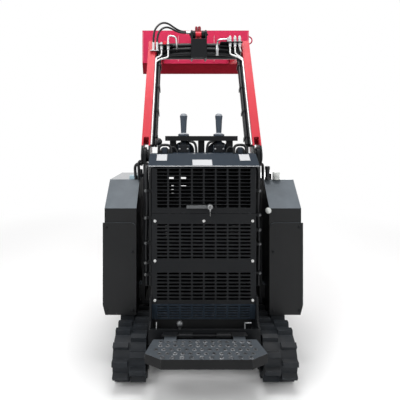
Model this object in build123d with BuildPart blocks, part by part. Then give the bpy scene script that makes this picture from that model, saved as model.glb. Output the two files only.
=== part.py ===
from build123d import *
import os
from math import atan2, cos, degrees, hypot, pi, radians, sin, tan

# Stand-on mini skid steer loader on rubber tracks, arms raised.
# Millimetres. X is the machine's right, Y points forward, Z is up, ground at Z = 0.
# The origin is on the ground below the middle of the machine's box.

os.makedirs("parts", exist_ok=True)

# Chassis and housings
chassis_half_width = 282.0
chassis_wall = 10.0
chassis_bottom = 150.0
chassis_top = 420.0
chassis_rear = -845.0
chassis_front = 110.0
heel_plate_rear = -905.0
heel_plate_top = 283.0
heel_plate_bottom = 205.0
chassis_tail = -780.0
tie_down_bore = 11.0
tie_down_half = 19.0
tie_down_rise = 27.0
tie_down_plate = 10.0
rear_face = -837.0
rear_half_width = 272.0
hood_half_width = 240.0
hood_wall = 4.0
hood_corner = 35.0
hood_front_top = 960.0
hood_rear = -650.0
console_edge_height = 1100.0
console_height = 1157.0
console_half_width = 290.0
console_slope_run = 100.0
console_end = -480.0
console_wall = 6.0
door_sill = 852.0
panel_sill = 380.0
toe_bottom = 285.0
toe_setback = 30.0
panel_wall = 4.0
panel_gap = 2.0

# Louvre pattern of the rear panels
slot_width = 52.0
slot_height = 9.5
slot_pitch_x = 62.0
slot_pitch_z = 18.8
slot_columns = 8

# Tracks
track_centre = 374.0
track_width = 162.0
belt_radius = 108.0
belt_thickness = 22.0
lug_height = 22.0
lug_base = 34.0
lug_tip = 22.0
lug_count = 32
lug_column_gap = 10.0
rear_wheel = -837.0
wheel_base = 820.0
roller_count = 4
roller_radius = 38.0
running_gap = 0.3

# Side tanks
tank_inner = 365.0
tank_outer = 540.0
tank_rear = -737.0
tank_length = 560.0
tank_bottom = 285.0
tank_top = 1000.0
tank_chamfer = 142.0
cover_thickness = 5.0
cover_outer = 549.0
cover_bottom = 275.0
cover_top = 780.0

# Lift arms
pivot_y = -557.0
pivot_z = 1139.0
pivot_pin = 26.0
arm_inner = 305.0
arm_width = 52.0
arm_angle = 60.0
arm_rear_length = 865.0
arm_depth = 100.0
arm_tip_depth = 84.0
prong_thickness = 10.0
prong_reach = 100.0
hinge_y = 513.0
hinge_z = 1950.0
hinge_pin = 30.0
tower_thickness = 16.0
tower_plane = 335.0
tower_width = 100.0
pin_gap = 0.3

# Crossmember with the tilt cylinder's bracket
cross_y = -105.0
cross_z = 1872.0
cross_radius = 57.0
bracket_half_width = 56.0
bracket_plate = 12.0
tilt_base_y = -137.0
tilt_base_z = 1985.0

# Lift and tilt cylinders
lift_base_y = -241.0
lift_base_z = 310.0
lift_pin_along = 341.0
lift_pin_below = 121.0
lift_barrel = 50.0
lift_rod = 28.0
lift_closed = 588.0
tilt_barrel = 46.0
tilt_rod = 25.0
tilt_closed = 509.0
tilt_pin_above = 150.0

# Bucket
bucket_half_width = 495.0
bucket_wall = 8.0
bucket_back_y = 613.0
bucket_back_top = 2240.0
bucket_back_bottom = 1938.0
bucket_heel_y = 668.0
bucket_heel_z = 1845.0
bucket_front_y = 1093.0
bucket_floor_rise = 18.0
attach_ear = 10.0
attach_gap = 3.0

# Standing platform
platform_top = 250.0
platform_thickness = 45.0
platform_front_half = 255.0
platform_wide_half = 284.0
platform_rear_half = 207.0
platform_front = -933.0
platform_wide = -1047.0
platform_rear = -1093.0
fold_y = -920.0
fold_z = 262.0
knuckle_radius = 9.0

# Values that follow from the sizes above
arm_outer = arm_inner + arm_width
arm_middle = arm_inner + arm_width / 2
along_y = cos(radians(arm_angle))
along_z = sin(radians(arm_angle))
elbow_y = pivot_y + arm_rear_length * along_y
elbow_z = pivot_z + arm_rear_length * along_z
wheel_z = belt_radius + lug_height
front_wheel = rear_wheel + wheel_base
inner_radius = belt_radius - belt_thickness
hood_top = console_height - console_wall
top_pin_y = hinge_y
top_pin_z = hinge_z + tilt_pin_above


def across(outline, x_low, x_high, mode=Mode.ADD):
    """Add a closed side outline of (Y, Z) points, extruded along X."""
    with BuildSketch(Plane.YZ.offset(x_low)) as profile:
        with BuildLine():
            Polyline(*outline, close=True)
        make_face()
    extrude(profile.sketch, amount=x_high - x_low, dir=(1, 0, 0), mode=mode)


def forward(outline, y_low, y_high, mode=Mode.ADD):
    """Add a closed cross section of (X, Z) points, extruded along Y."""
    with BuildSketch(Plane.XZ.offset(-y_low)) as profile:
        with BuildLine():
            Polyline(*outline, close=True)
        make_face()
    extrude(profile.sketch, amount=y_high - y_low, dir=(0, 1, 0), mode=mode)


def block(x_low, x_high, y_low, y_high, z_low, z_high, mode=Mode.ADD):
    """Add a rectangular block between two corners."""
    with Locations(((x_low + x_high) / 2, (y_low + y_high) / 2, (z_low + z_high) / 2)):
        Box(x_high - x_low, y_high - y_low, z_high - z_low, mode=mode)


def rod_x(y, z, radius, x_low, x_high, mode=Mode.ADD):
    """Add a round bar that lies along X."""
    with BuildSketch(Plane.YZ.offset(x_low)) as profile:
        with Locations((y, z)):
            Circle(radius)
    extrude(profile.sketch, amount=x_high - x_low, dir=(1, 0, 0), mode=mode)


def bar(start, end, radius, mode=Mode.ADD):
    """Add a round bar between two points."""
    axis = Vector(*end) - Vector(*start)
    with BuildSketch(Plane(origin=start, z_dir=axis)) as profile:
        Circle(radius)
    extrude(profile.sketch, amount=axis.length, dir=axis, mode=mode)


def save(piece, label):
    """Label a finished piece and write it to its own file."""
    piece.part.label = label
    export_step(piece.part, f"parts/{label}.step")


def save_mirrored(piece, label):
    """Write the mirror image of a right-hand piece as its left-hand twin."""
    with BuildPart() as twin:
        mirror(piece.part, about=Plane.YZ)
    save(twin, label)


def arm_point(along, below):
    """Point at a distance along the rear arm segment and below its middle line."""
    return (pivot_y + along * along_y + below * along_z,
            pivot_z + along * along_z - below * along_y)


# Chassis: side plates, floor, heel plate, cylinder feet and platform hinge
chassis_floor_front = 20.0
chassis_nose = 240.0
floor_top = chassis_bottom + chassis_wall
plate_inner = chassis_half_width - chassis_wall
side_outline = [
    (heel_plate_rear, heel_plate_bottom), (heel_plate_rear, heel_plate_top), (chassis_rear - 17, 300),
    (chassis_rear, chassis_top), (chassis_front, chassis_top), (chassis_front, chassis_nose),
    (chassis_floor_front, chassis_bottom), (chassis_tail, chassis_bottom),
]
nose_outline = [
    (chassis_floor_front, chassis_bottom), (chassis_front, chassis_nose),
    (chassis_front, chassis_nose + 14), (chassis_floor_front - 4, floor_top),
]
foot_half = 32.0
foot_eye_gap = 20.3
foot_ear = 8.0
foot_base = 272.0
lift_pin = 20.0
with BuildPart() as chassis:
    block(-plate_inner, plate_inner, chassis_tail, chassis_floor_front, chassis_bottom, floor_top)
    across(nose_outline, -plate_inner, plate_inner)
    block(-plate_inner, plate_inner, chassis_front - chassis_wall, chassis_front,
          chassis_nose, chassis_top)
    block(-plate_inner, plate_inner, heel_plate_rear, heel_plate_rear + chassis_wall,
          heel_plate_bottom, heel_plate_top)
    block(-plate_inner, plate_inner, -700, -700 + chassis_wall, floor_top, panel_sill)
    for side in (-1, 1):
        across(side_outline, min(side * plate_inner, side * chassis_half_width),
               max(side * plate_inner, side * chassis_half_width))
        flange = sorted((side * (hood_half_width - 6), side * plate_inner))
        block(*flange, hood_rear, chassis_front, chassis_top - 8, chassis_top)
        foot = sorted((side * chassis_half_width, side * (arm_middle + foot_eye_gap + foot_ear)))
        block(*foot, lift_base_y - foot_half, lift_base_y + foot_half, foot_base, foot_base + 8)
        for inner in (arm_middle - foot_eye_gap - foot_ear, arm_middle + foot_eye_gap):
            ear = sorted((side * inner, side * (inner + foot_ear)))
            block(*ear, lift_base_y - foot_half, lift_base_y + foot_half,
                  foot_base, lift_base_z + 24)
            rod_x(lift_base_y, lift_base_z, lift_pin / 2 + pin_gap, ear[0], ear[1],
                  mode=Mode.SUBTRACT)
        knuckle = sorted((side * 60, side * 130))
        rod_x(fold_y, fold_z, knuckle_radius, *knuckle)
        block(*knuckle, fold_y, heel_plate_rear, fold_z - 6, fold_z + 6)
        rail = sorted((side * 150, side * 190))
        block(*rail, -520, 0, floor_top, floor_top + 40)
    rod_x(fold_y, fold_z, 4, -215, 215)
save(chassis, "chassis_frame")

# Tie-down lugs: upright plates with a round eye on the chassis's front corners
tie_down_x = chassis_half_width - tie_down_half
tie_down_z = chassis_top + tie_down_rise
with BuildPart() as tie_downs:
    for side in (-1, 1):
        middle = side * tie_down_x
        block(middle - tie_down_half, middle + tie_down_half,
              chassis_front - tie_down_plate, chassis_front, chassis_top, tie_down_z)
        bar((middle, chassis_front - tie_down_plate, tie_down_z), (middle, chassis_front, tie_down_z),
            tie_down_half)
        bar((middle, chassis_front - tie_down_plate, tie_down_z), (middle, chassis_front, tie_down_z),
            tie_down_bore, mode=Mode.SUBTRACT)
save(tie_downs, "tie_downs")

# Towers that carry the arm pivots, each on a foot bolted to the chassis side
boss_half = arm_width / 2 - prong_thickness - pin_gap
tower_outline = [
    (pivot_y - tower_width / 2, pivot_z), (-660, chassis_top), (-660, 300),
    (-430, 300), (-430, chassis_top), (pivot_y + tower_width / 2, pivot_z),
]
with BuildPart() as tower:
    across(tower_outline, tower_plane - tower_thickness / 2, tower_plane + tower_thickness / 2)
    rod_x(pivot_y, pivot_z, tower_width / 2, tower_plane - tower_thickness / 2,
          tower_plane + tower_thickness / 2)
    rod_x(pivot_y, pivot_z, 36, arm_middle - boss_half, arm_middle + boss_half)
    for foot_low in (300, chassis_top - 20):
        block(chassis_half_width, tower_plane, -660, -430, foot_low, foot_low + 20)
    rod_x(pivot_y, pivot_z, pivot_pin / 2, arm_inner - 20, arm_outer + 20, mode=Mode.SUBTRACT)
save(tower, "tower_right")
save_mirrored(tower, "tower_left")

with BuildPart() as pivot_pins:
    for side in (-1, 1):
        shank = sorted((side * (arm_inner - 8), side * (arm_outer + 5)))
        rod_x(pivot_y, pivot_z, pivot_pin / 2, *shank)
        head = sorted((side * (arm_inner - 8), side * (arm_inner - pin_gap)))
        rod_x(pivot_y, pivot_z, pivot_pin / 2 + 5, *head)
save(pivot_pins, "pivot_pins")

# Engine as one plain block on its rails
with BuildPart() as engine:
    block(-190, 190, -480, -20, floor_top + 60, 720)
    for side in (-1, 1):
        block(*sorted((side * 150, side * 190)), -480, -20, floor_top + 40, floor_top + 60)
save(engine, "engine_block")

# Hood: one bent shell, open below, behind and at the grille
hood_outline = [
    (hood_rear, chassis_top), (hood_rear, hood_top), (console_end + 10, hood_top),
    (chassis_front, hood_front_top), (chassis_front, chassis_top),
]
hood_cavity = [
    (hood_rear - 1, chassis_top - 1), (hood_rear - 1, hood_top - hood_wall),
    (console_end + 9, hood_top - hood_wall), (chassis_front + 1, hood_front_top - hood_wall),
    (chassis_front + 1, chassis_top - 1),
]
with BuildPart() as cavity:
    across(hood_cavity, -hood_half_width + hood_wall, hood_half_width - hood_wall)
    cavity_edges = cavity.faces().sort_by(Axis.Z)[-2:].edges().filter_by(
        lambda edge: abs(abs(edge.center().X) - hood_half_width + hood_wall) < 1)
    fillet(cavity_edges, hood_corner - hood_wall)

with BuildPart() as hood:
    across(hood_outline, -hood_half_width, hood_half_width)
    top_edges = hood.faces().sort_by(Axis.Z)[-2:].edges().filter_by(
        lambda edge: abs(abs(edge.center().X) - hood_half_width) < 1)
    fillet(top_edges, hood_corner)
    add(cavity.part, mode=Mode.SUBTRACT)
save(hood, "hood")

# Grille that closes the hood's front, with slots across it
grille_rows = 14
grille_pitch = 30.0
grille_half = hood_half_width - hood_wall - 1
grille_top = hood_front_top - hood_corner - 10
with BuildPart() as grille:
    with BuildSketch(Plane.XZ.offset(-(chassis_front - 8))) as face:
        with Locations((0, (chassis_top + grille_top) / 2)):
            Rectangle(2 * grille_half, grille_top - chassis_top)
        with Locations((0, (chassis_top + grille_top) / 2)):
            with GridLocations(220, grille_pitch, 2, grille_rows):
                Rectangle(190, 14, mode=Mode.SUBTRACT)
    extrude(amount=6, dir=(0, 1, 0))
save(grille, "front_grille")

# Rear frame: side walls and cross members that hold the door and the panel
frame_wall = 10.0
frame_inner = rear_half_width - frame_wall
console_slope = (console_height - console_edge_height) / console_slope_run
door_face = rear_face + panel_wall
frame_outline = [
    (door_face, panel_sill),
    (door_face, console_edge_height - console_wall + (door_face - chassis_rear) * console_slope),
    (chassis_rear + console_slope_run, hood_top), (hood_rear, hood_top), (hood_rear, panel_sill),
]
with BuildPart() as rear_frame:
    for side in (-1, 1):
        across(frame_outline, *sorted((side * frame_inner, side * rear_half_width)))
    block(-frame_inner, frame_inner, door_face, door_face + 30, door_sill - 10, door_sill - 2)
    block(-frame_inner, frame_inner, hood_rear - 6, hood_rear, panel_sill, hood_top)
    block(-220, 220, hood_rear - 7, hood_rear + 1, chassis_top + 20, hood_top - 60,
          mode=Mode.SUBTRACT)
save(rear_frame, "rear_frame")

# Console: bent cover with a sloped rear edge, wide behind the arms and narrow between them
console_outline = [
    (chassis_rear, console_edge_height - console_wall), (chassis_rear, console_edge_height),
    (chassis_rear + console_slope_run, console_height), (console_end, console_height),
    (console_end, hood_top), (chassis_rear + console_slope_run, hood_top),
]
with BuildPart() as console:
    across(console_outline, -console_half_width, console_half_width)
    for side in (-1, 1):
        narrow = sorted((side * (hood_half_width + 8), side * (console_half_width + 1)))
        block(*narrow, pivot_y - 70, console_end + 1, hood_top - 1, console_height + 1,
              mode=Mode.SUBTRACT)
save(console, "console")

# Rear door, hinged along its top edge, with eleven rows of louvres
door_top = console_edge_height - console_wall - 6
door_rows = 11
door_row_top = door_top - 14
door_knuckle = 4.5
door_half_width = rear_half_width - 2
hinge_line_y = -835.0
with BuildPart() as rear_door:
    with BuildSketch(Plane.XZ.offset(-rear_face)) as face:
        with Locations((0, (door_top + door_sill) / 2)):
            Rectangle(2 * door_half_width, door_top - door_sill)
        row_middle = door_row_top - (door_rows - 1) * slot_pitch_z / 2
        with Locations((0, row_middle)):
            with GridLocations(slot_pitch_x, slot_pitch_z, slot_columns, door_rows):
                Rectangle(slot_width, slot_height, mode=Mode.SUBTRACT)
    extrude(amount=panel_wall - pin_gap, dir=(0, 1, 0))
    for side in (-1, 1):
        flange = sorted((side * (frame_inner - 9), side * (frame_inner - 6)))
        block(*flange, door_face - pin_gap, door_face + 16, door_sill + 10, door_top - 16)
        rod_x(hinge_line_y, door_top, door_knuckle, *sorted((side * 140, side * 200)))
save(rear_door, "rear_door")

# Door latch: a bar on the door's face with a round knob at its end
latch_x = -34.5
latch_z = 888.0
with BuildPart() as latch:
    block(latch_x - 55.5, latch_x + 50, rear_face - 14, rear_face, latch_z - 8, latch_z + 8)
    with Locations((latch_x + 66, rear_face - 9, latch_z)):
        Cylinder(15.5, 18, rotation=(90, 0, 0))
save(latch, "door_latch")

# Bolted lower panel with two sets of louvres
panel_top = door_sill - panel_gap
middle_rows = 10
middle_row_top = 791.0
low_rows = 8
low_row_top = 539.0
with BuildPart() as lower_panel:
    with BuildSketch(Plane.XZ.offset(-rear_face)) as face:
        with Locations((0, (panel_top + panel_sill) / 2)):
            Rectangle(2 * rear_half_width, panel_top - panel_sill)
        for rows, row_top in ((middle_rows, middle_row_top), (low_rows, low_row_top)):
            with Locations((0, row_top - (rows - 1) * slot_pitch_z / 2)):
                with GridLocations(slot_pitch_x, slot_pitch_z, slot_columns, rows):
                    Rectangle(slot_width, slot_height, mode=Mode.SUBTRACT)
    extrude(amount=panel_wall, dir=(0, 1, 0))
save(lower_panel, "rear_panel")

# Toe panel: leans forward below the lower panel, with five rows of louvres
toe_rows = 5
toe_drop = panel_sill - panel_gap - toe_bottom
toe_length = hypot(toe_drop, toe_setback)
toe_plane = Plane(origin=(0, rear_face + toe_setback / 2, (panel_sill - panel_gap + toe_bottom) / 2),
                  x_dir=(1, 0, 0), z_dir=(0, -toe_drop, -toe_setback))
with BuildPart() as toe_panel:
    with BuildSketch(toe_plane) as face:
        Rectangle(2 * rear_half_width, toe_length)
        with GridLocations(slot_pitch_x, slot_pitch_z * 0.9, slot_columns, toe_rows):
            Rectangle(slot_width, slot_height, mode=Mode.SUBTRACT)
    extrude(amount=-panel_wall)
save(toe_panel, "toe_panel")

# Side tanks with a chamfered rear corner, their rear covers and the filler cap
tank_front = tank_rear + tank_length
tank_outline = [
    (tank_rear, tank_bottom), (tank_rear, tank_top - tank_chamfer),
    (tank_rear + tank_chamfer, tank_top), (tank_front, tank_top), (tank_front, tank_bottom),
]
with BuildPart() as tank:
    across(tank_outline, tank_inner, tank_outer)
    fillet(tank.edges().filter_by(Axis.X).group_by(Axis.Z)[-1], 12)
    block(tower_plane + tower_thickness / 2, tank_inner, -640, -580, 320, 400)
save(tank, "tank_right")
save_mirrored(tank, "tank_left")

cover_outline = [
    (tank_inner, cover_bottom), (tank_inner, cover_top), (cover_outer, cover_top),
    (cover_outer, 330), (cover_outer - 14, cover_bottom),
]
with BuildPart() as cover:
    forward(cover_outline, tank_rear - cover_thickness, tank_rear)
    corner = cover.edges().filter_by(Axis.Y).sort_by(Axis.Z)[-2:].sort_by(Axis.X)[0]
    fillet(corner, 32)
save(cover, "tank_cover_right")
save_mirrored(cover, "tank_cover_left")

with BuildPart() as cap:
    with BuildSketch(Plane.XY.offset(tank_top)):
        with Locations((-400, -547)):
            Circle(33.5)
    extrude(amount=20, taper=4)
save(cap, "filler_cap")

# Rubber track: a belt round the wheels, with two staggered columns of lugs in its outline
straight = wheel_base
turn = pi * belt_radius
loop_length = 2 * straight + 2 * turn


def loop_place(distance):
    """Position and outward angle on the belt's outer face, from the rear wheel's bottom."""
    distance = distance % loop_length
    if distance < straight:
        return rear_wheel + distance, wheel_z - belt_radius, -90.0
    distance -= straight
    if distance < turn:
        angle = -90.0 + degrees(distance / belt_radius)
        return (front_wheel + belt_radius * cos(radians(angle)),
                wheel_z + belt_radius * sin(radians(angle)), angle)
    distance -= turn
    if distance < straight:
        return front_wheel - distance, wheel_z + belt_radius, 90.0
    distance -= straight
    angle = 90.0 + degrees(distance / belt_radius)
    return (rear_wheel + belt_radius * cos(radians(angle)),
            wheel_z + belt_radius * sin(radians(angle)), angle)


def lug_outline(distance):
    """Side outline of one lug, rooted 3 mm inside the belt."""
    y, z, angle = loop_place(distance)
    out_y, out_z = cos(radians(angle)), sin(radians(angle))
    bend_loss = 0.0 if abs(angle) == 90.0 else lug_tip ** 2 / 8 / (belt_radius + lug_height) + 0.05
    tip = lug_height - bend_loss
    corners = ((-lug_base / 2, -3), (lug_base / 2, -3), (lug_tip / 2, tip), (-lug_tip / 2, tip))
    return [(y - across_y * out_z + out * out_y, z + across_y * out_y + out * out_z)
            for across_y, out in corners]


def stadium(radius):
    """Outline sketch of the loop at a radius from the wheel centres."""
    with BuildSketch(Plane.YZ.offset(track_centre - track_width / 2)) as outline:
        with Locations(((rear_wheel + front_wheel) / 2, wheel_z)):
            SlotCenterToCenter(wheel_base, 2 * radius)
    return outline.sketch


track_inner_side = track_centre - track_width / 2
column_width = (track_width - lug_column_gap) / 2
with BuildPart() as track:
    extrude(stadium(belt_radius), amount=track_width, dir=(1, 0, 0))
    extrude(stadium(inner_radius), amount=track_width, dir=(1, 0, 0), mode=Mode.SUBTRACT)
    for number in range(lug_count):
        for column in range(2):
            low_x = track_inner_side + column * (column_width + lug_column_gap)
            across(lug_outline((number + column / 2) * loop_length / lug_count),
                   low_x, low_x + column_width)
save(track, "track_right")
save_mirrored(track, "track_left")

# Drive sprockets behind, idlers in front and rollers below, on a beam inside each track
sprocket_teeth = 12
hub_half = 54.0
with BuildPart() as sprockets:
    for side in (-1, 1):
        rod_x(rear_wheel, wheel_z, inner_radius - 14, side * track_centre - 22, side * track_centre + 22)
        rod_x(rear_wheel, wheel_z, 42, side * track_centre - hub_half, side * track_centre + hub_half)
        with BuildSketch(Plane.YZ.offset(side * track_centre - 22)) as teeth:
            with Locations((rear_wheel, wheel_z)):
                with PolarLocations(inner_radius - 12, sprocket_teeth):
                    Rectangle(22, 18)
        extrude(teeth.sketch, amount=44, dir=(1, 0, 0))
save(sprockets, "sprockets")

with BuildPart() as idlers:
    for side in (-1, 1):
        rod_x(front_wheel, wheel_z, inner_radius - running_gap,
              side * track_centre - 30, side * track_centre + 30)
        rod_x(front_wheel, wheel_z, 30, side * track_centre - hub_half, side * track_centre + hub_half)
save(idlers, "idlers")

roller_z = wheel_z - inner_radius + roller_radius + running_gap
roller_span = 500.0
with BuildPart() as rollers:
    for side in (-1, 1):
        for number in range(roller_count):
            y = (rear_wheel + front_wheel) / 2 + roller_span * (number / (roller_count - 1) - 0.5)
            rod_x(y, roller_z, roller_radius, side * track_centre - 40, side * track_centre + 40)
            rod_x(y, roller_z, 12, side * track_centre - hub_half, side * track_centre + hub_half)
save(rollers, "track_rollers")

# Track frames: a beam above the rollers, axle plates at both ends and two cross tubes
beam_low = roller_z + roller_radius + 4
beam_high = wheel_z + inner_radius - 8
with BuildPart() as track_frame:
    block(track_centre - 38, track_centre + 38, rear_wheel + 95, front_wheel - 95, beam_low, beam_high)
    for plate_x in (track_centre - hub_half - 8, track_centre + hub_half):
        block(plate_x, plate_x + 8, front_wheel - 110, front_wheel + 36, wheel_z - 22, wheel_z + 22)
        block(plate_x, plate_x + 8, rear_wheel - 36, rear_wheel + 110, wheel_z - 22, wheel_z + 22)
        for number in range(roller_count):
            y = (rear_wheel + front_wheel) / 2 + roller_span * (number / (roller_count - 1) - 0.5)
            block(plate_x, plate_x + 8, y - 18, y + 18, roller_z - 14, beam_low + 20)
    for beam_end in (rear_wheel + 95, front_wheel - 110):
        block(track_centre - 62, track_centre + 62, beam_end, beam_end + 15, wheel_z - 22, wheel_z + 22)
    block(track_centre - 62, track_centre + 62, rear_wheel + 110, front_wheel - 110,
          beam_low + 4, beam_low + 20)
    for y in (-640, -200):
        rod_x(y, floor_top + 20, 25, chassis_half_width, track_centre)
save(track_frame, "track_frame_right")
save_mirrored(track_frame, "track_frame_left")

# Lift arms: a bent box section, forked at the pivot, with ears for the lift cylinder
front_angle = degrees(atan2(hinge_z - elbow_z, hinge_y - elbow_y))
front_y, front_z = cos(radians(front_angle)), sin(radians(front_angle))
half = arm_depth / 2
tip_half = arm_tip_depth / 2
mitre = tan(radians((arm_angle - front_angle) / 2))
elbow_along = arm_rear_length
upper_elbow = arm_point(elbow_along + half * mitre, -half)
lower_elbow = arm_point(elbow_along - half * mitre, half)
arm_outline = [
    arm_point(0, -half), upper_elbow, (hinge_y - tip_half * front_z, hinge_z + tip_half * front_y),
    (hinge_y + tip_half * front_z, hinge_z - tip_half * front_y), lower_elbow, arm_point(0, half),
]
ear_thickness = 8.0
ear_outline = [
    arm_point(lift_pin_along - 90, half - 2), arm_point(lift_pin_along + 70, half - 2),
    arm_point(lift_pin_along + 26, lift_pin_below + 24), arm_point(lift_pin_along - 26, lift_pin_below + 24),
]
lift_eye_y, lift_eye_z = arm_point(lift_pin_along, lift_pin_below)
fork_outline = [
    arm_point(-half - 5, -half - 5), arm_point(prong_reach, -half - 5),
    arm_point(prong_reach, half + 5), arm_point(-half - 5, half + 5),
]
with BuildPart() as arm:
    across(arm_outline, arm_inner, arm_outer)
    rod_x(pivot_y, pivot_z, half, arm_inner, arm_outer)
    rod_x(hinge_y, hinge_z, tip_half, arm_inner, arm_outer)
    across(fork_outline, arm_inner + prong_thickness, arm_outer - prong_thickness, mode=Mode.SUBTRACT)
    for low_x in (arm_inner, arm_outer - ear_thickness):
        across(ear_outline, low_x, low_x + ear_thickness)
        rod_x(lift_eye_y, lift_eye_z, 26, low_x, low_x + ear_thickness)
    rod_x(lift_eye_y, lift_eye_z, 15, arm_inner - 5, arm_inner)
    rod_x(lift_eye_y, lift_eye_z, 15, arm_outer, arm_outer + 3)
    rod_x(pivot_y, pivot_z, pivot_pin / 2 + pin_gap, arm_inner - 1, arm_outer + 1, mode=Mode.SUBTRACT)
    rod_x(hinge_y, hinge_z, hinge_pin / 2 + pin_gap, arm_inner - 1, arm_outer + 1, mode=Mode.SUBTRACT)
save(arm, "arm_right")
save_mirrored(arm, "arm_left")

# Crossmember: a round tube between the arms with the tilt cylinder's bracket
bracket_reach = 32.0
bracket_outline = [
    (tilt_base_y - bracket_reach, tilt_base_z), (cross_y - 72, 1940), (cross_y - 72, 1808),
    (cross_y + 40, 1808), (cross_y + 60, 1900), (tilt_base_y + bracket_reach, tilt_base_z),
]
with BuildPart() as crossmember:
    rod_x(cross_y, cross_z, cross_radius, -arm_inner, arm_inner)
    for side in (-1, 1):
        ear = sorted((side * (bracket_half_width - bracket_plate), side * bracket_half_width))
        across(bracket_outline, *ear)
        rod_x(tilt_base_y, tilt_base_z, bracket_reach, *ear)
        rod_x(tilt_base_y, tilt_base_z, lift_pin / 2 + pin_gap, *ear, mode=Mode.SUBTRACT)
    block(-bracket_half_width, bracket_half_width, cross_y - 80, cross_y - 72, 1808, 1944)
save(crossmember, "crossmember")

# Bulkhead plates for the hydraulic pipes, welded to the crossmember's rear
with BuildPart() as bulkheads:
    for low_x, high_x, height in ((-278, -183, 1884), (147, 300, 1904)):
        block(low_x, high_x, -235, cross_y, height, height + 6)
        rod_x(cross_y, cross_z, cross_radius, low_x, high_x, mode=Mode.SUBTRACT)
save(bulkheads, "bulkheads")

# Hydraulic cylinders: each barrel hangs on its base pin, each rod ends in an eye
def axis_point(base, tip, run):
    """Point (Y, Z) at a distance from the base pin towards the rod's pin."""
    length = hypot(tip[0] - base[0], tip[1] - base[1])
    return (base[0] + (tip[0] - base[0]) * run / length, base[1] + (tip[1] - base[1]) * run / length)


def build_barrel(x, base, tip, radius, length, eye_radius, eye_half, bore):
    """Add a barrel with its cross eye, neck, gland and open bore."""
    rod_x(*base, eye_radius, x - eye_half, x + eye_half)
    place = [(x, *axis_point(base, tip, run)) for run in (0, neck_length, length - gland_length, length)]
    bar(place[0], place[1], eye_radius - 4)
    bar(place[1], place[2], radius - 1.5)
    bar(place[2], place[3], radius)
    bar((x, *axis_point(base, tip, neck_length + 4)), (x, *axis_point(base, tip, length + 1)),
        bore, mode=Mode.SUBTRACT)


def build_rod(x, base, tip, radius, inner_end, eye_radius, eye_half):
    """Add a rod from inside its barrel to its eye."""
    length = hypot(tip[0] - base[0], tip[1] - base[1])
    bar((x, *axis_point(base, tip, inner_end)), (x, *axis_point(base, tip, length)), radius)
    rod_x(*tip, eye_radius, x - eye_half, x + eye_half)


neck_length = 40.0
gland_length = 34.0
lift_base = (lift_base_y, lift_base_z)
lift_tip = (lift_eye_y, lift_eye_z)
lift_barrel_length = lift_closed - 44
lift_overlap = 20.0
lift_rod_end = lift_barrel_length - lift_overlap
lift_eye_half = arm_width / 2 - ear_thickness - pin_gap
with BuildPart() as lift_barrel_piece:
    build_barrel(arm_middle, lift_base, lift_tip, lift_barrel / 2, lift_barrel_length,
                 22, foot_eye_gap - pin_gap, lift_rod / 2 + pin_gap)
    rod_x(*lift_base, lift_pin / 2, arm_middle - foot_eye_gap - foot_ear,
          arm_middle + foot_eye_gap + foot_ear)
save(lift_barrel_piece, "lift_barrel_right")
save_mirrored(lift_barrel_piece, "lift_barrel_left")

with BuildPart() as lift_rod_piece:
    build_rod(arm_middle, lift_base, lift_tip, lift_rod / 2, lift_rod_end, 22, lift_eye_half)
save(lift_rod_piece, "lift_rod_right")
save_mirrored(lift_rod_piece, "lift_rod_left")

tilt_base = (tilt_base_y, tilt_base_z)
tilt_tip = (top_pin_y, top_pin_z)
tilt_barrel_length = tilt_closed - 42
tilt_rod_end = 240.0
tilt_eye_half = 30.0
port_half = 24.0
port_places = ((-66.0, 2024.0), (-92.0, 2011.0))
with BuildPart() as tilt_barrel_piece:
    build_barrel(0, tilt_base, tilt_tip, tilt_barrel / 2, tilt_barrel_length,
                 20, bracket_half_width - bracket_plate - pin_gap, tilt_rod / 2 + pin_gap)
    rod_x(*tilt_base, lift_pin / 2, -bracket_half_width, bracket_half_width)
    for port_y, port_z in port_places:
        bar((0, *axis_point(tilt_base, tilt_tip, port_y - tilt_base_y + 4)), (0, port_y, port_z), 8)
        rod_x(port_y, port_z, 9, -port_half, port_half)
save(tilt_barrel_piece, "tilt_barrel")

with BuildPart() as tilt_rod_piece:
    build_rod(0, tilt_base, tilt_tip, tilt_rod / 2, tilt_rod_end, 22, tilt_eye_half - pin_gap)
save(tilt_rod_piece, "tilt_rod")

# Attachment plate with ears for the arms' hinge pins and the tilt rod
attach_thickness = 12.0
attach_face = bucket_back_y - attach_thickness
attach_half_width = 390.0
hinge_ear = [(hinge_y - 6, hinge_z + 33), (attach_face, hinge_z + 70), (attach_face, hinge_z - 20),
             (hinge_y - 6, hinge_z - 33)]
tilt_ear = [(top_pin_y - 6, top_pin_z + 27), (attach_face, top_pin_z + 60), (attach_face, top_pin_z - 60),
            (top_pin_y - 6, top_pin_z - 27)]
with BuildPart() as attach_plate:
    block(-attach_half_width, attach_half_width, attach_face, bucket_back_y, hinge_z - 20, hinge_z + 240)
    for side in (-1, 1):
        for low_x in (arm_inner - attach_gap - attach_ear, arm_outer + attach_gap):
            ear = sorted((side * low_x, side * (low_x + attach_ear)))
            across(hinge_ear, *ear)
            rod_x(hinge_y, hinge_z, 34, *ear)
        pin = sorted((side * (arm_inner - attach_gap - attach_ear - 8),
                      side * (arm_outer + attach_gap + attach_ear + 6)))
        rod_x(hinge_y, hinge_z, hinge_pin / 2, *pin)
        ear = sorted((side * tilt_eye_half, side * (tilt_eye_half + attach_ear)))
        across(tilt_ear, *ear)
        rod_x(top_pin_y, top_pin_z, 28, *ear)
save(attach_plate, "attachment_plate")

# Bucket: bent back, heel and floor between two side plates
rise_y = cos(radians(bucket_floor_rise))
rise_z = sin(radians(bucket_floor_rise))
edge_thickness = 10.0
edge_width = 110.0
edge_tip = (bucket_front_y - bucket_heel_y - edge_thickness * rise_z) / rise_y


def floor_point(run, height):
    """Point along the bucket's floor from the heel, and above its lower face (Y, Z)."""
    return (bucket_heel_y + run * rise_y - height * rise_z, bucket_heel_z + run * rise_z + height * rise_y)


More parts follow.
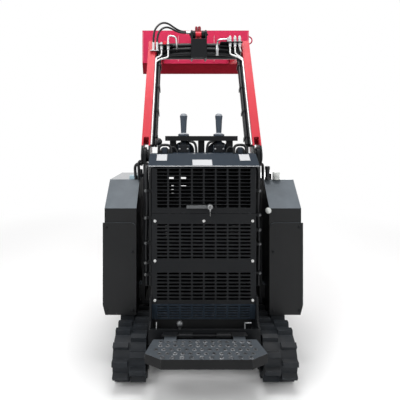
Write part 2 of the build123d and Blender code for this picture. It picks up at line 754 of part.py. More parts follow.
shell_outline = [
    (bucket_back_y, bucket_back_top), (bucket_back_y, bucket_back_bottom),
    (bucket_heel_y, bucket_heel_z), floor_point(edge_tip - 20, 0), floor_point(edge_tip - 20, bucket_wall),
    (bucket_heel_y + 6, bucket_heel_z + bucket_wall + 4),
    (bucket_back_y + bucket_wall, bucket_back_bottom + 2),
    (bucket_back_y + bucket_wall, bucket_back_top),
]
side_plate_outline = [
    (bucket_back_y, bucket_back_top), (bucket_back_y, bucket_back_bottom),
    (bucket_heel_y, bucket_heel_z), floor_point(edge_tip - 20, 0), floor_point(edge_tip - 40, 40),
    (bucket_back_y + 60, bucket_back_top),
]
with BuildPart() as bucket:
    across(shell_outline, -bucket_half_width, bucket_half_width)
    for side in (-1, 1):
        plate = sorted((side * (bucket_half_width - bucket_wall), side * bucket_half_width))
        across(side_plate_outline, *plate)
save(bucket, "bucket")

edge_outline = [floor_point(edge_tip - edge_width, -edge_thickness), floor_point(edge_tip, -edge_thickness),
                floor_point(edge_tip - 12, 0), floor_point(edge_tip - edge_width, 0)]
with BuildPart() as bucket_edge:
    across(edge_outline, -bucket_half_width, bucket_half_width)
save(bucket_edge, "bucket_edge")

loop_radius = 34.0
loop_wire = 6.0
with BuildPart() as bucket_loop:
    with BuildSketch(Plane(origin=(bucket_half_width, bucket_back_y + 30, 2156 + loop_radius),
                           z_dir=(1, 0, 0))):
        Circle(loop_wire)
    revolve(axis=Axis((bucket_half_width, bucket_back_y + 30, 2156), (0, 1, 0)), revolution_arc=180)
save(bucket_loop, "bucket_loop")

# Standing platform, hinged at its forward edge to fold up
platform_outline = [
    (-platform_front_half, platform_front), (platform_front_half, platform_front),
    (platform_wide_half, platform_wide), (platform_rear_half, platform_rear),
    (-platform_rear_half, platform_rear), (-platform_wide_half, platform_wide),
]
fold_lug = [(-955, 249), (-928, 268), (-914, 256), (platform_front, 230)]
with BuildPart() as platform:
    with BuildSketch(Plane.XY.offset(platform_top - platform_thickness)):
        with BuildLine():
            Polyline(*platform_outline, close=True)
        make_face()
    extrude(amount=platform_thickness)
    for side in (-1, 1):
        lug = sorted((side * 140, side * 200))
        across(fold_lug, *lug)
        rod_x(fold_y, fold_z, knuckle_radius, *lug)
    rod_x(fold_y, fold_z, 4 + pin_gap, -201, 201, mode=Mode.SUBTRACT)
save(platform, "platform")

# Hand rest on its posts, with holes for the joystick stems
control_y = -537.0
stick_spacing = 213.0
rest_low = console_height + 70
rest_high = rest_low + 29
with BuildPart() as hand_rest:
    block(-217, 217, control_y - 50, control_y + 40, rest_low, rest_high)
    fillet(hand_rest.edges().filter_by(Axis.Z), 25)
    for x in (-170, 0, 170):
        block(x - 19, x + 19, control_y - 20, control_y + 20, console_height, rest_low)
    for x in (-stick_spacing / 2, stick_spacing / 2):
        with Locations((x, control_y, rest_low)):
            Cylinder(13, 80, mode=Mode.SUBTRACT)
save(hand_rest, "hand_rest")

# Joysticks: base block, stem, collar and a grip that widens to a domed top
grip_low = rest_high + 19
grip_high = grip_low + 118
with BuildPart() as joystick:
    block(stick_spacing / 2 - 34, stick_spacing / 2 + 34, control_y - 34, control_y + 34,
          console_height, console_height + 45)
    with Locations((stick_spacing / 2, control_y, console_height + 75)):
        Cylinder(10, 66)
    stick_plane = Plane(origin=(stick_spacing / 2, control_y, 0), x_dir=(1, 0, 0), z_dir=(0, -1, 0))
    with BuildSketch(stick_plane):
        with BuildLine():
            Polyline((0, rest_high + pin_gap), (33, rest_high + pin_gap), (33, rest_high + 11),
                     (16, grip_low), (20, grip_high - 40), (23, grip_high - 16),
                     (17, grip_high - 5), (8, grip_high),
                     (0, grip_high), close=True)
        make_face()
    revolve(axis=Axis((stick_spacing / 2, control_y, 0), (0, 0, 1)))
save(joystick, "joystick_right")
save_mirrored(joystick, "joystick_left")

# Throttle lever with its round knob, on the console's left side
with BuildPart() as throttle:
    with Locations((-249, -660, console_height + 25)):
        Cylinder(6, 50)
    with Locations((-249, -660, console_height + 66)):
        Sphere(21)
save(throttle, "throttle_lever")

# Black hoses clamped along the inner face of each rear arm segment
hose_radius = 9.5
hose_low = 62.0
hose_high = 770.0
hose_below = -22.0
clamp_places = (110.0, 300.0, 490.0, 680.0)
hose_planes = (arm_inner - pin_gap - hose_radius, arm_inner - 2 * pin_gap - 3 * hose_radius)
with BuildPart() as arm_hoses:
    for hose_x in hose_planes:
        for below in (hose_below, hose_below + 2 * hose_radius + 3):
            bar((hose_x, *arm_point(hose_low, below)), (hose_x, *arm_point(hose_high, below)), hose_radius)
save(arm_hoses, "arm_hoses_right")
save_mirrored(arm_hoses, "arm_hoses_left")

clamp_inner = hose_planes[1] - hose_radius
strap_half = 11.0
strap_low = hose_below - hose_radius - 6
strap_high = hose_below + 3 * hose_radius + 9
with BuildPart() as clamps:
    for place in clamp_places:
        strap = [arm_point(place - strap_half, strap_low), arm_point(place + strap_half, strap_low),
                 arm_point(place + strap_half, strap_high), arm_point(place - strap_half, strap_high)]
        across(strap, clamp_inner - 4, clamp_inner - pin_gap)
        for below in (strap_low + 2, strap_high - 2):
            bar((clamp_inner - 4, *arm_point(place, below)), (arm_inner, *arm_point(place, below)), 2.5)
save(clamps, "hose_clamps_right")
save_mirrored(clamps, "hose_clamps_left")

# Free hoses from the left arm's fittings over to the tilt cylinder's ports
tilt_hose = 14.0
fitting_radius = 9.0
hose_end_x = -89.0
upper_route = [(-318, -215, 1908), (-318, -215, 1948), (-310, -210, 1997), (-288, -190, 2036),
               (-260, -159, 2060), (-225, -122, 2063), (-188, -82, 2041), (-140, -66, 2024),
               (hose_end_x, -66, 2024)]
lower_route = [(-292, -216, 1908), (-292, -216, 1935), (-282, -211, 1979), (-258, -193, 2014),
               (-224, -167, 2031), (-192, -127, 2030), (-156, -102, 2016), (-124, -92, 2011),
               (hose_end_x, -92, 2011)]


def corner_radii(points):
    """Largest tangent arcs that the two runs at each corner allow."""
    radii = []
    for before, corner, after in zip(points, points[1:], points[2:]):
        run_in = Vector(*corner) - Vector(*before)
        run_out = Vector(*after) - Vector(*corner)
        bend = radians(run_in.get_angle(run_out))
        radii.append(0.45 * min(run_in.length, run_out.length) / tan(bend / 2))
    return radii


for route, label in ((upper_route, "tilt_hose_upper"), (lower_route, "tilt_hose_lower")):
    radii = corner_radii(route)
    with BuildPart() as tilt_hose_piece:
        with BuildLine() as path:
            FilletPolyline(*route, radius=radii)
        with BuildSketch(Plane(origin=route[0], z_dir=(0, 0, 1))):
            Circle(tilt_hose / 2)
        sweep(path=path.line)
    print(label, "tightest bend", round(min(radii)))
    print(label, "length", round(sum(edge.length for edge in path.edges())))
    save(tilt_hose_piece, label)

# Fittings at both ends of the free hoses
with BuildPart() as fittings:
    for route in (upper_route, lower_route):
        start, end = route[0], route[-1]
        bar((start[0], start[1], start[2] - 55), start, fitting_radius)
        bar(end, (-port_half - pin_gap, end[1], end[2]), fitting_radius)
    block(-340, -278, -228, -205.8, 1848, 1853)
save(fittings, "tilt_hose_fittings")
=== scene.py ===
"""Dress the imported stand-on mini loader: finishes, hoses, pipes, fasteners, light and camera."""

import logging
import math
from dataclasses import dataclass, field
from enum import Enum
from typing import Iterable, Sequence

import bmesh
import bpy
from mathutils import Matrix, Vector


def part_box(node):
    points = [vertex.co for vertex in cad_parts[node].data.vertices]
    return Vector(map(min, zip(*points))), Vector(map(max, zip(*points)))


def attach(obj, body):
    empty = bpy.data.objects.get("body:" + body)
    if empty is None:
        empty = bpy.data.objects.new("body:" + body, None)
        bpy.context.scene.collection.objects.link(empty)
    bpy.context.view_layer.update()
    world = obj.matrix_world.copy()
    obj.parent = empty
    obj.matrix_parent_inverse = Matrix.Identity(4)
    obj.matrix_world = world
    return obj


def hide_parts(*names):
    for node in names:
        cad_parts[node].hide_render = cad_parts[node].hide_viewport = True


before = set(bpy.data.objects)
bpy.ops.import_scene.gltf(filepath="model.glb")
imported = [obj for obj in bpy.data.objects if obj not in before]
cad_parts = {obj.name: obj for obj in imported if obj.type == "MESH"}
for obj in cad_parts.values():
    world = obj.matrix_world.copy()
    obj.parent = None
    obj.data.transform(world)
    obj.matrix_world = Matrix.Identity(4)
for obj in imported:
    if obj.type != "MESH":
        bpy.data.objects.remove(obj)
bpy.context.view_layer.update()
log = logging.getLogger("loader")

Point = Sequence[float]


class Coat(Enum):
    """Kinds of surface that the machine's finishes fall into."""

    PAINT = "paint"
    METAL = "metal"
    RUBBER = "rubber"
    PLASTIC = "plastic"


@dataclass(frozen=True)
class Finish:
    """One finish, with the numbers that its shader needs."""

    name: str
    slot: str
    coat: Coat
    colour: tuple[float, float, float]
    roughness: float
    worn_colour: tuple[float, float, float] = (0.25, 0.24, 0.23)
    wear: float = 0.3
    dust: float = 0.15
    grain_scale: float = 260.0
    grain_height: float = 0.08
    clear_coat: float = 0.0
    shine: float = 0.5
    # Amount of painted shade: a darker tint on faces that look down.
    painted_under_shade: float = 0.0
    # Painted top light: amount and colour of a paler tint on faces that look up.
    top_light: float = 0.0
    pale: tuple[float, float, float] = (0.2, 0.2, 0.2)
    glaze: bool = False
    # Reach of the painted shade, a near-black patch round the arms' pivots.
    pivot_shade_reach: float = 0.0


# Each row: name, slot, coat, colour, roughness, then worn colour, wear, dust, grain scale,
# grain height, clear coat and shine
FINISHES = (
    Finish("red_paint", "red_paint", Coat.PAINT, (0.66, 0.026, 0.046), 0.42,
           (0.30, 0.03, 0.03), 0.35, 0.05, 90.0, 0.05, 0.08, 0.2),
    # The arms take painted shade round their pivots.
    Finish("arm_paint", "red_paint", Coat.PAINT, (0.59, 0.036, 0.055), 0.42,
           (0.30, 0.03, 0.03), 0.35, 0.05, 90.0, 0.05, 0.08, 0.2, pivot_shade_reach=0.064),
    # The bucket takes painted shade on its faces that look down.
    Finish("bucket_paint", "red_paint", Coat.PAINT, (0.56, 0.026, 0.085), 0.5,
           (0.28, 0.05, 0.05), 0.5, 0.06, 70.0, 0.08, 0.0, 0.12, painted_under_shade=0.9),
    # A lighter copy of the red paint for the weld beads: a painted highlight.
    Finish("lit_bead_paint", "red_paint", Coat.PAINT, (0.72, 0.20, 0.26), 0.5,
           (0.5, 0.2, 0.2), 0.2, 0.05, 90.0, 0.05),
    # A darker copy of the red paint for the tilt ports: painted shade.
    Finish("shaded_red_paint", "red_paint", Coat.PAINT, (0.22, 0.008, 0.018), 0.42,
           (0.20, 0.02, 0.02), 0.3, 0.05, 90.0, 0.05, 0.0, 0.3),
    Finish("black_paint", "black_paint", Coat.PAINT, (0.0075, 0.0085, 0.0100), 0.42,
           (0.09, 0.09, 0.09), 0.25, 0.03, 420.0, 0.12, 0.0, 0.14),
    Finish("panel_paint", "black_paint", Coat.PAINT, (0.0085, 0.0095, 0.0110), 0.45,
           (0.11, 0.11, 0.12), 0.3, 0.04, 520.0, 0.16, 0.0, 0.14),
    Finish("slate_paint", "black_paint", Coat.PAINT, (0.0190, 0.0290, 0.0420), 0.45,
           (0.16, 0.17, 0.19), 0.35, 0.05, 420.0, 0.12, 0.0, 0.07),
    # The step takes painted top light on its faces that look up.
    Finish("tread_paint", "black_paint", Coat.PAINT, (0.010, 0.0105, 0.0115), 0.50,
           (0.16, 0.16, 0.16), 0.7, 0.06, 300.0, 0.3, 0.0, 0.12, top_light=0.9, pale=(0.085, 0.098, 0.112)),
    Finish("worn_tread", "black_paint", Coat.PAINT, (0.050, 0.055, 0.062), 0.45,
           (0.50, 0.52, 0.54), 0.95, 0.10, 260.0, 0.2, 0.0, 0.3),
    # The tanks take painted top light on their faces that look up.
    Finish("tank_plastic", "tank_plastic", Coat.PLASTIC, (0.0105, 0.0112, 0.0122), 0.40,
           (0.08, 0.08, 0.09), 0.2, 0.03, 340.0, 0.10, 0.0, 0.2,
           top_light=0.9, pale=(0.135, 0.155, 0.175), glaze=True),
    Finish("zinc_steel", "zinc_steel", Coat.METAL, (0.50, 0.51, 0.52), 0.34,
           (0.4, 0.4, 0.38), 0.2, 0.1, 180.0, 0.06),
    Finish("pipe_steel", "zinc_steel", Coat.METAL, (0.66, 0.665, 0.66), 0.36,
           (0.5, 0.5, 0.48), 0.2, 0.08, 180.0, 0.06),
    Finish("dull_steel", "zinc_steel", Coat.METAL, (0.13, 0.135, 0.14), 0.42,
           (0.4, 0.4, 0.38), 0.4, 0.1, 180.0, 0.1),
    Finish("lock_steel", "zinc_steel", Coat.METAL, (0.30, 0.305, 0.31), 0.36,
           (0.4, 0.4, 0.38), 0.3, 0.1, 180.0, 0.1),
    Finish("rod_chrome", "rod_chrome", Coat.METAL, (0.80, 0.81, 0.82), 0.12,
           (0.7, 0.7, 0.7), 0.05, 0.03, 120.0, 0.01),
    Finish("engine_iron", "engine_iron", Coat.PAINT, (0.016, 0.018, 0.022), 0.6,
           (0.12, 0.12, 0.12), 0.3, 0.08, 150.0, 0.2, 0.0, 0.15),
    # The track's pale worn edges are partly rubbed rubber and partly a painted highlight.
    Finish("track_rubber", "track_rubber", Coat.RUBBER, (0.0135, 0.0165, 0.0205), 0.6,
           (0.060, 0.072, 0.084), 0.8, 0.14, 130.0, 0.35, 0.0, 0.18),
    Finish("hose_rubber", "hose_rubber", Coat.RUBBER, (0.0065, 0.0075, 0.0090), 0.36,
           (0.05, 0.05, 0.05), 0.2, 0.04, 600.0, 0.1, 0.0, 0.3),
    # The grips take painted top light on their faces that look up.
    Finish("grip_plastic", "grip_plastic", Coat.PLASTIC, (0.045, 0.062, 0.085), 0.5,
           (0.16, 0.19, 0.22), 0.3, 0.08, 500.0, 0.2, 0.0, 0.3, top_light=0.9, pale=(0.42, 0.44, 0.47)),
    Finish("edge_steel", "edge_steel", Coat.METAL, (0.32, 0.29, 0.28), 0.45,
           (0.6, 0.58, 0.56), 0.6, 0.3, 90.0, 0.2),
    Finish("blank_plate", "", Coat.PLASTIC, (0.50, 0.51, 0.53), 0.35,
           (0.6, 0.6, 0.6), 0.1, 0.1, 300.0, 0.02),
    Finish("clear_plastic", "", Coat.PLASTIC, (0.60, 0.62, 0.60), 0.25,
           (0.5, 0.5, 0.48), 0.1, 0.1, 200.0, 0.04),
    Finish("cap_blue", "tank_plastic", Coat.PLASTIC, (0.36, 0.50, 0.57), 0.35,
           (0.3, 0.4, 0.45), 0.2, 0.1, 200.0, 0.06),
    Finish("slate_plastic", "grip_plastic", Coat.PLASTIC, (0.022, 0.030, 0.043), 0.5,
           (0.10, 0.12, 0.15), 0.2, 0.06, 300.0, 0.12, 0.0, 0.2),
)


def add_node(tree: bpy.types.NodeTree, kind: str, feeds: dict | None = None,
             **settings: object) -> bpy.types.Node:
    """Add a shader node with its settings, values and links.

    Args:
        tree: The tree to add to.
        kind: Blender's name of the node, without ShaderNode.
        feeds: A socket or a plain value for each input, by name or number.
        settings: Settings of the node itself.

    Returns:
        The new node.
    """
    node = tree.nodes.new("ShaderNode" + kind)
    for label, value in settings.items():
        setattr(node, label, value)
    for label, value in (feeds or {}).items():
        if isinstance(value, bpy.types.NodeSocket):
            tree.links.new(value, node.inputs[label])
        else:
            node.inputs[label].default_value = value
    return node


def add_math(tree: bpy.types.NodeTree, operation: str, *values: bpy.types.NodeSocket | float,
             clamp: bool = False) -> bpy.types.NodeSocket:
    """Add a math node.

    Args:
        tree: The tree to add to.
        operation: Blender's name of the operation.
        values: Sockets or numbers that it works on, in order.
        clamp: Whether to keep the result between 0 and 1.

    Returns:
        The result's socket.
    """
    node = add_node(tree, "Math", dict(enumerate(values)), operation=operation, use_clamp=clamp)
    return node.outputs[0]


def rays_seen(tree: bpy.types.NodeTree, *rays: str) -> bpy.types.NodeSocket:
    """Mask the rays that look at the white surroundings themselves.

    Args:
        tree: The tree to add to.
        rays: Names of the kinds of ray.

    Returns:
        The mask's socket.
    """
    path = add_node(tree, "LightPath")
    seen = path.outputs[rays[0]]
    for ray in rays[1:]:
        seen = add_math(tree, "MAXIMUM", seen, path.outputs[ray])
    return seen


class ShaderGroups:
    """Node groups that the finishes share, each built once."""

    WEAR_RADIUS = 0.004
    BEVEL_SAMPLES = 4

    def __init__(self) -> None:
        """Build every group."""
        self.wear = self._build_wear()
        self.dust = self._build_dust()
        self.grain = self._build_grain()
        self.under_shade = self._build_under_shade()
        self.top_light = self._build_top_light()

    @staticmethod
    def _new(name: str, inputs: dict[str, float], outputs: Iterable[str]) -> tuple:
        """Make an empty group with float sockets.

        Args:
            name: The group's name.
            inputs: Socket names with their default values.
            outputs: Names of the output sockets.

        Returns:
            The new tree, the values given to it and the sockets for its results.
        """
        tree = bpy.data.node_groups.new(name, "ShaderNodeTree")
        for label, value in inputs.items():
            socket = tree.interface.new_socket(name=label, in_out="INPUT", socket_type="NodeSocketFloat")
            socket.default_value = value
        for label in outputs:
            tree.interface.new_socket(name=label, in_out="OUTPUT", socket_type="NodeSocketFloat")
        given = tree.nodes.new("NodeGroupInput").outputs
        results = tree.nodes.new("NodeGroupOutput").inputs
        return tree, given, results

    @staticmethod
    def _noise(tree: bpy.types.NodeTree, scale: bpy.types.NodeSocket | float, detail: float,
               roughness: float) -> bpy.types.NodeSocket:
        """Add a noise texture on object coordinates.

        Args:
            tree: The tree to add to.
            scale: A socket or number for the scale.
            detail: Noise detail.
            roughness: Noise roughness.

        Returns:
            The noise's factor socket.
        """
        place = add_node(tree, "TexCoord")
        feeds = {"Vector": place.outputs["Object"], "Scale": scale, "Detail": detail, "Roughness": roughness}
        return add_node(tree, "TexNoise", feeds).outputs["Fac"]

    @staticmethod
    def _upward(tree: bpy.types.NodeTree) -> bpy.types.NodeSocket:
        """Return how far the surface looks up, from -1 to 1."""
        shape = add_node(tree, "NewGeometry")
        return add_node(tree, "SeparateXYZ", {0: shape.outputs["Normal"]}).outputs["Z"]

    @staticmethod
    def _line(tree: bpy.types.NodeTree, value: bpy.types.NodeSocket, gain: float,
              offset: float) -> bpy.types.NodeSocket:
        """Give a value a gain and an offset, kept between 0 and 1.

        Args:
            tree: The tree to add to.
            value: The value's socket.
            gain: What it is multiplied by.
            offset: What is added after that.

        Returns:
            The result's socket.
        """
        return add_math(tree, "MULTIPLY_ADD", value, gain, offset, clamp=True)

    @staticmethod
    def _put_mask(group: tuple, first: bpy.types.NodeSocket, second: bpy.types.NodeSocket) -> None:
        """Multiply two parts and the group's amount into its mask.

        Args:
            group: The tree, its given values and its results.
            first: One part.
            second: The other part.
        """
        tree, given, results = group
        mask = add_math(tree, "MULTIPLY", first, second, clamp=True)
        mask = add_math(tree, "MULTIPLY", mask, given["Amount"], clamp=True)
        tree.links.new(mask, results["Mask"])

    def _build_wear(self) -> bpy.types.NodeTree:
        """Edge wear: convex edges, broken up by noise, as a mask."""
        group = self._new("worn_edges", {"Amount": 0.3, "Break up": 40.0}, ("Mask",))
        tree, given, _ = group
        shape = add_node(tree, "NewGeometry")
        rounded = add_node(tree, "Bevel", {"Radius": self.WEAR_RADIUS}, samples=self.BEVEL_SAMPLES)
        turn = add_node(tree, "VectorMath", {0: rounded.outputs["Normal"], 1: shape.outputs["Normal"]},
                        operation="DOT_PRODUCT")
        edge = self._line(tree, turn.outputs["Value"], -9.0, 9.0)
        spots = self._line(tree, self._noise(tree, given["Break up"], 6.0, 0.65), 6.0, -2.82)
        self._put_mask(group, edge, spots)
        return tree

    def _build_dust(self) -> bpy.types.NodeTree:
        """Dust film: more on faces that look up, in soft clouds, as a mask."""
        group = self._new("dust_film", {"Amount": 0.15, "Cloud size": 5.0}, ("Mask",))
        tree, given, _ = group
        upward = add_math(tree, "MAXIMUM", self._upward(tree), 0.0)
        upward = self._line(tree, upward, 0.6, 0.4)
        clouds = self._line(tree, self._noise(tree, given["Cloud size"], 5.0, 0.6), 1.0, -0.35)
        clouds = add_math(tree, "MULTIPLY", clouds, 2.2)
        self._put_mask(group, clouds, upward)
        return tree

    def _build_under_shade(self) -> bpy.types.NodeTree:
        """Painted shade on faces that look down, broken up by noise, as a mask."""
        group = self._new("painted_under_shade", {"Amount": 0.5}, ("Mask",))
        tree = group[0]
        downward = self._line(tree, self._upward(tree), -2.6, -0.25)
        clouds = self._line(tree, self._noise(tree, 6.0, 4.0, 0.6), 0.5, 0.75)
        self._put_mask(group, downward, clouds)
        return tree

    def _build_top_light(self) -> bpy.types.NodeTree:
        """Painted top light: a paler tint on faces that look up, as a mask, and a mask for flat tops."""
        group = self._new("painted_top_light", {"Amount": 0.5}, ("Mask", "Flat"))
        tree, _, results = group
        height = self._upward(tree)
        upward = self._line(tree, height, 3.2, -0.96)
        clouds = self._line(tree, self._noise(tree, 9.0, 6.0, 0.65), 0.7, 0.55)
        self._put_mask(group, upward, clouds)
        tree.links.new(self._line(tree, height, 18.0, -16.74), results["Flat"])
        return tree

    def _build_grain(self) -> bpy.types.NodeTree:
        """Fine grain for bump, with a broad unevenness for roughness."""
        tree, given, results = self._new("surface_grain", {"Scale": 260.0}, ("Height", "Smear"))
        tree.links.new(self._noise(tree, given["Scale"], 3.0, 0.55), results["Height"])
        tree.links.new(self._noise(tree, 7.0, 4.0, 0.6), results["Smear"])
        return tree


class FinishShop:
    """Makes one material for each finish and hands them out by name."""

    DUST_COLOUR = (0.22, 0.20, 0.18, 1.0)
    # Colour of the painted shade round the arms' pivots.
    PIVOT_SHADE_COLOUR = (0.008, 0.009, 0.010, 1.0)
    SMEAR_SHADE = 0.82
    # Tint of the painted shade on faces that look down, as shares of the finish's colour.
    UNDER_SHADE_TINT = (0.30, 0.05, 0.05)
    ROUGHNESS_SPREAD = (0.8, 1.3)
    GLAZE_CUT = -0.8
    COAT_ROUGHNESS = 0.15
    WEAR_BREAK_UP = 45.0
    DUST_CLOUDS = 4.0
    GRAIN_DEPTH = 0.0006
    EDGE_RADIUS = 0.0015
    # Width of the painted shade's soft rim at the pivots.
    PIVOT_SHADE_EDGE = 0.002
    PIVOT = (0.0, -0.557, 1.139)

    def __init__(self, groups: ShaderGroups) -> None:
        """Build every material.

        Args:
            groups: The shared shader groups.
        """
        self.groups = groups
        self.slots = {finish.name: finish.slot for finish in FINISHES}
        self.materials = {finish.name: self._build(finish) for finish in FINISHES}

    @staticmethod
    def _group(tree: bpy.types.NodeTree, group: bpy.types.NodeTree,
               values: dict[str, float]) -> bpy.types.Node:
        """Place a shared group in a material with its own values.

        Args:
            tree: The material's tree.
            group: The shared group.
            values: Input values by socket name.

        Returns:
            The group node.
        """
        return add_node(tree, "Group", values, node_tree=group)

    @staticmethod
    def _mix(tree: bpy.types.NodeTree, factor: bpy.types.NodeSocket, first: object,
             second: Sequence[float]) -> bpy.types.NodeSocket:
        """Blend two colours by a mask.

        Args:
            tree: The material's tree.
            factor: The mask.
            first: Colour or socket where the mask is 0.
            second: Colour where the mask is 1.

        Returns:
            The blended colour.
        """
        feeds = {"Factor": factor, 6: first, 7: second}
        return add_node(tree, "Mix", feeds, data_type="RGBA").outputs[2]

    def _near_pivot(self, tree: bpy.types.NodeTree, reach: float) -> bpy.types.NodeSocket:
        """Mask the painted shade round the arms' pivot bosses.

        Args:
            tree: The material's tree.
            reach: How far the painted shade goes from the pivot's axis.

        Returns:
            The mask socket.
        """
        place = add_node(tree, "TexCoord")
        side = add_node(tree, "VectorMath", {0: place.outputs["Object"], 1: (0.0, 1.0, 1.0)},
                        operation="MULTIPLY")
        gap = add_node(tree, "VectorMath", {0: side.outputs["Vector"], 1: self.PIVOT}, operation="DISTANCE")
        feeds = {"Value": gap.outputs["Value"], "From Min": reach, "From Max": reach + self.PIVOT_SHADE_EDGE,
                 "To Min": 1.0, "To Max": 0.0}
        return add_node(tree, "MapRange", feeds).outputs["Result"]

    def _colour(self, tree: bpy.types.NodeTree, finish: Finish, grain: bpy.types.Node,
                top_light: bpy.types.Node | None) -> bpy.types.NodeSocket:
        """Build a finish's colour with its wear and dust, and with its painted shade and painted top light.

        Args:
            tree: The material's tree.
            finish: The finish's numbers.
            grain: The grain group's node.
            top_light: The painted top light group's node, where the finish has one.

        Returns:
            The colour's socket.
        """
        wear = self._group(tree, self.groups.wear, {"Amount": finish.wear, "Break up": self.WEAR_BREAK_UP})
        dust = self._group(tree, self.groups.dust, {"Amount": finish.dust, "Cloud size": self.DUST_CLOUDS})
        darker = (*(self.SMEAR_SHADE * part for part in finish.colour), 1.0)
        colour = self._mix(tree, grain.outputs["Smear"], (*finish.colour, 1.0), darker)
        colour = self._mix(tree, wear.outputs["Mask"], colour, (*finish.worn_colour, 1.0))
        colour = self._mix(tree, dust.outputs["Mask"], colour, self.DUST_COLOUR)
        # Painted shade on faces that look down.
        if finish.painted_under_shade:
            under_shade = self._group(tree, self.groups.under_shade, {"Amount": finish.painted_under_shade})
            shade = (*(share * part for share, part in zip(self.UNDER_SHADE_TINT, finish.colour)), 1.0)
            colour = self._mix(tree, under_shade.outputs["Mask"], colour, shade)
        # Painted top light on faces that look up.
        if top_light:
            colour = self._mix(tree, top_light.outputs["Mask"], colour, (*finish.pale, 1.0))
        # Painted shade round the arms' pivots.
        if finish.pivot_shade_reach:
            colour = self._mix(tree, self._near_pivot(tree, finish.pivot_shade_reach), colour, self.PIVOT_SHADE_COLOUR)
        return colour

    def _roughness(self, tree: bpy.types.NodeTree, finish: Finish, grain: bpy.types.Node,
                   top_light: bpy.types.Node | None) -> bpy.types.NodeSocket:
        """Build a finish's uneven roughness, with a glaze on its flat tops where it has one.

        Args:
            tree: The material's tree.
            finish: The finish's numbers.
            grain: The grain group's node.
            top_light: The painted top light group's node, where the finish has one.

        Returns:
            The roughness socket.
        """
        smooth, coarse = (share * finish.roughness for share in self.ROUGHNESS_SPREAD)
        feeds = {"Value": grain.outputs["Smear"], "To Min": smooth, "To Max": min(1.0, coarse)}
        roughness = add_node(tree, "MapRange", feeds).outputs["Result"]
        if top_light and finish.glaze:
            glaze = add_math(tree, "MULTIPLY_ADD", top_light.outputs["Flat"], self.GLAZE_CUT, 1.0)
            roughness = add_math(tree, "MULTIPLY", glaze, roughness)
        return roughness

    def _build(self, finish: Finish) -> bpy.types.Material:
        """Build one finish.

        Args:
            finish: The finish's numbers.

        Returns:
            The material.
        """
        material = bpy.data.materials.new(finish.name)
        material.use_nodes = True
        tree = material.node_tree
        shader = tree.nodes["Principled BSDF"]
        grain = self._group(tree, self.groups.grain, {"Scale": finish.grain_scale})
        top_light = None
        # The painted top light group, where the finish has one.
        if finish.top_light:
            top_light = self._group(tree, self.groups.top_light, {"Amount": finish.top_light})
        tree.links.new(self._colour(tree, finish, grain, top_light), shader.inputs["Base Color"])
        tree.links.new(self._roughness(tree, finish, grain, top_light), shader.inputs["Roughness"])
        rounded = add_node(tree, "Bevel", {"Radius": self.EDGE_RADIUS}, samples=ShaderGroups.BEVEL_SAMPLES)
        feeds = {"Normal": rounded.outputs["Normal"], "Height": grain.outputs["Height"],
                 "Strength": finish.grain_height, "Distance": self.GRAIN_DEPTH}
        bump = add_node(tree, "Bump", feeds)
        tree.links.new(bump.outputs["Normal"], shader.inputs["Normal"])
        shader.inputs["Metallic"].default_value = 1.0 if finish.coat is Coat.METAL else 0.0
        shader.inputs["Coat Weight"].default_value = finish.clear_coat
        shader.inputs["Coat Roughness"].default_value = self.COAT_ROUGHNESS
        shader.inputs["Specular IOR Level"].default_value = finish.shine
        return material

    def dress(self, piece: bpy.types.Object, name: str) -> None:
        """Give a piece one finish.

        Args:
            piece: The object.
            name: The finish's name.
        """
        piece.data.materials.clear()
        piece.data.materials.append(self.materials[name])

    def place(self, name: str, data: bpy.types.ID, finish: str, body: str) -> bpy.types.Object:
        """Put a new mesh or curve into the scene, dressed, on its body.

        Args:
            name: The piece's name.
            data: Its mesh or curve.
            finish: The finish's name.
            body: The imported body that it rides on.

        Returns:
            The piece.
        """
        piece = bpy.data.objects.new(name, data)
        bpy.context.scene.collection.objects.link(piece)
        self.dress(piece, finish)
        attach(piece, body)
        return piece


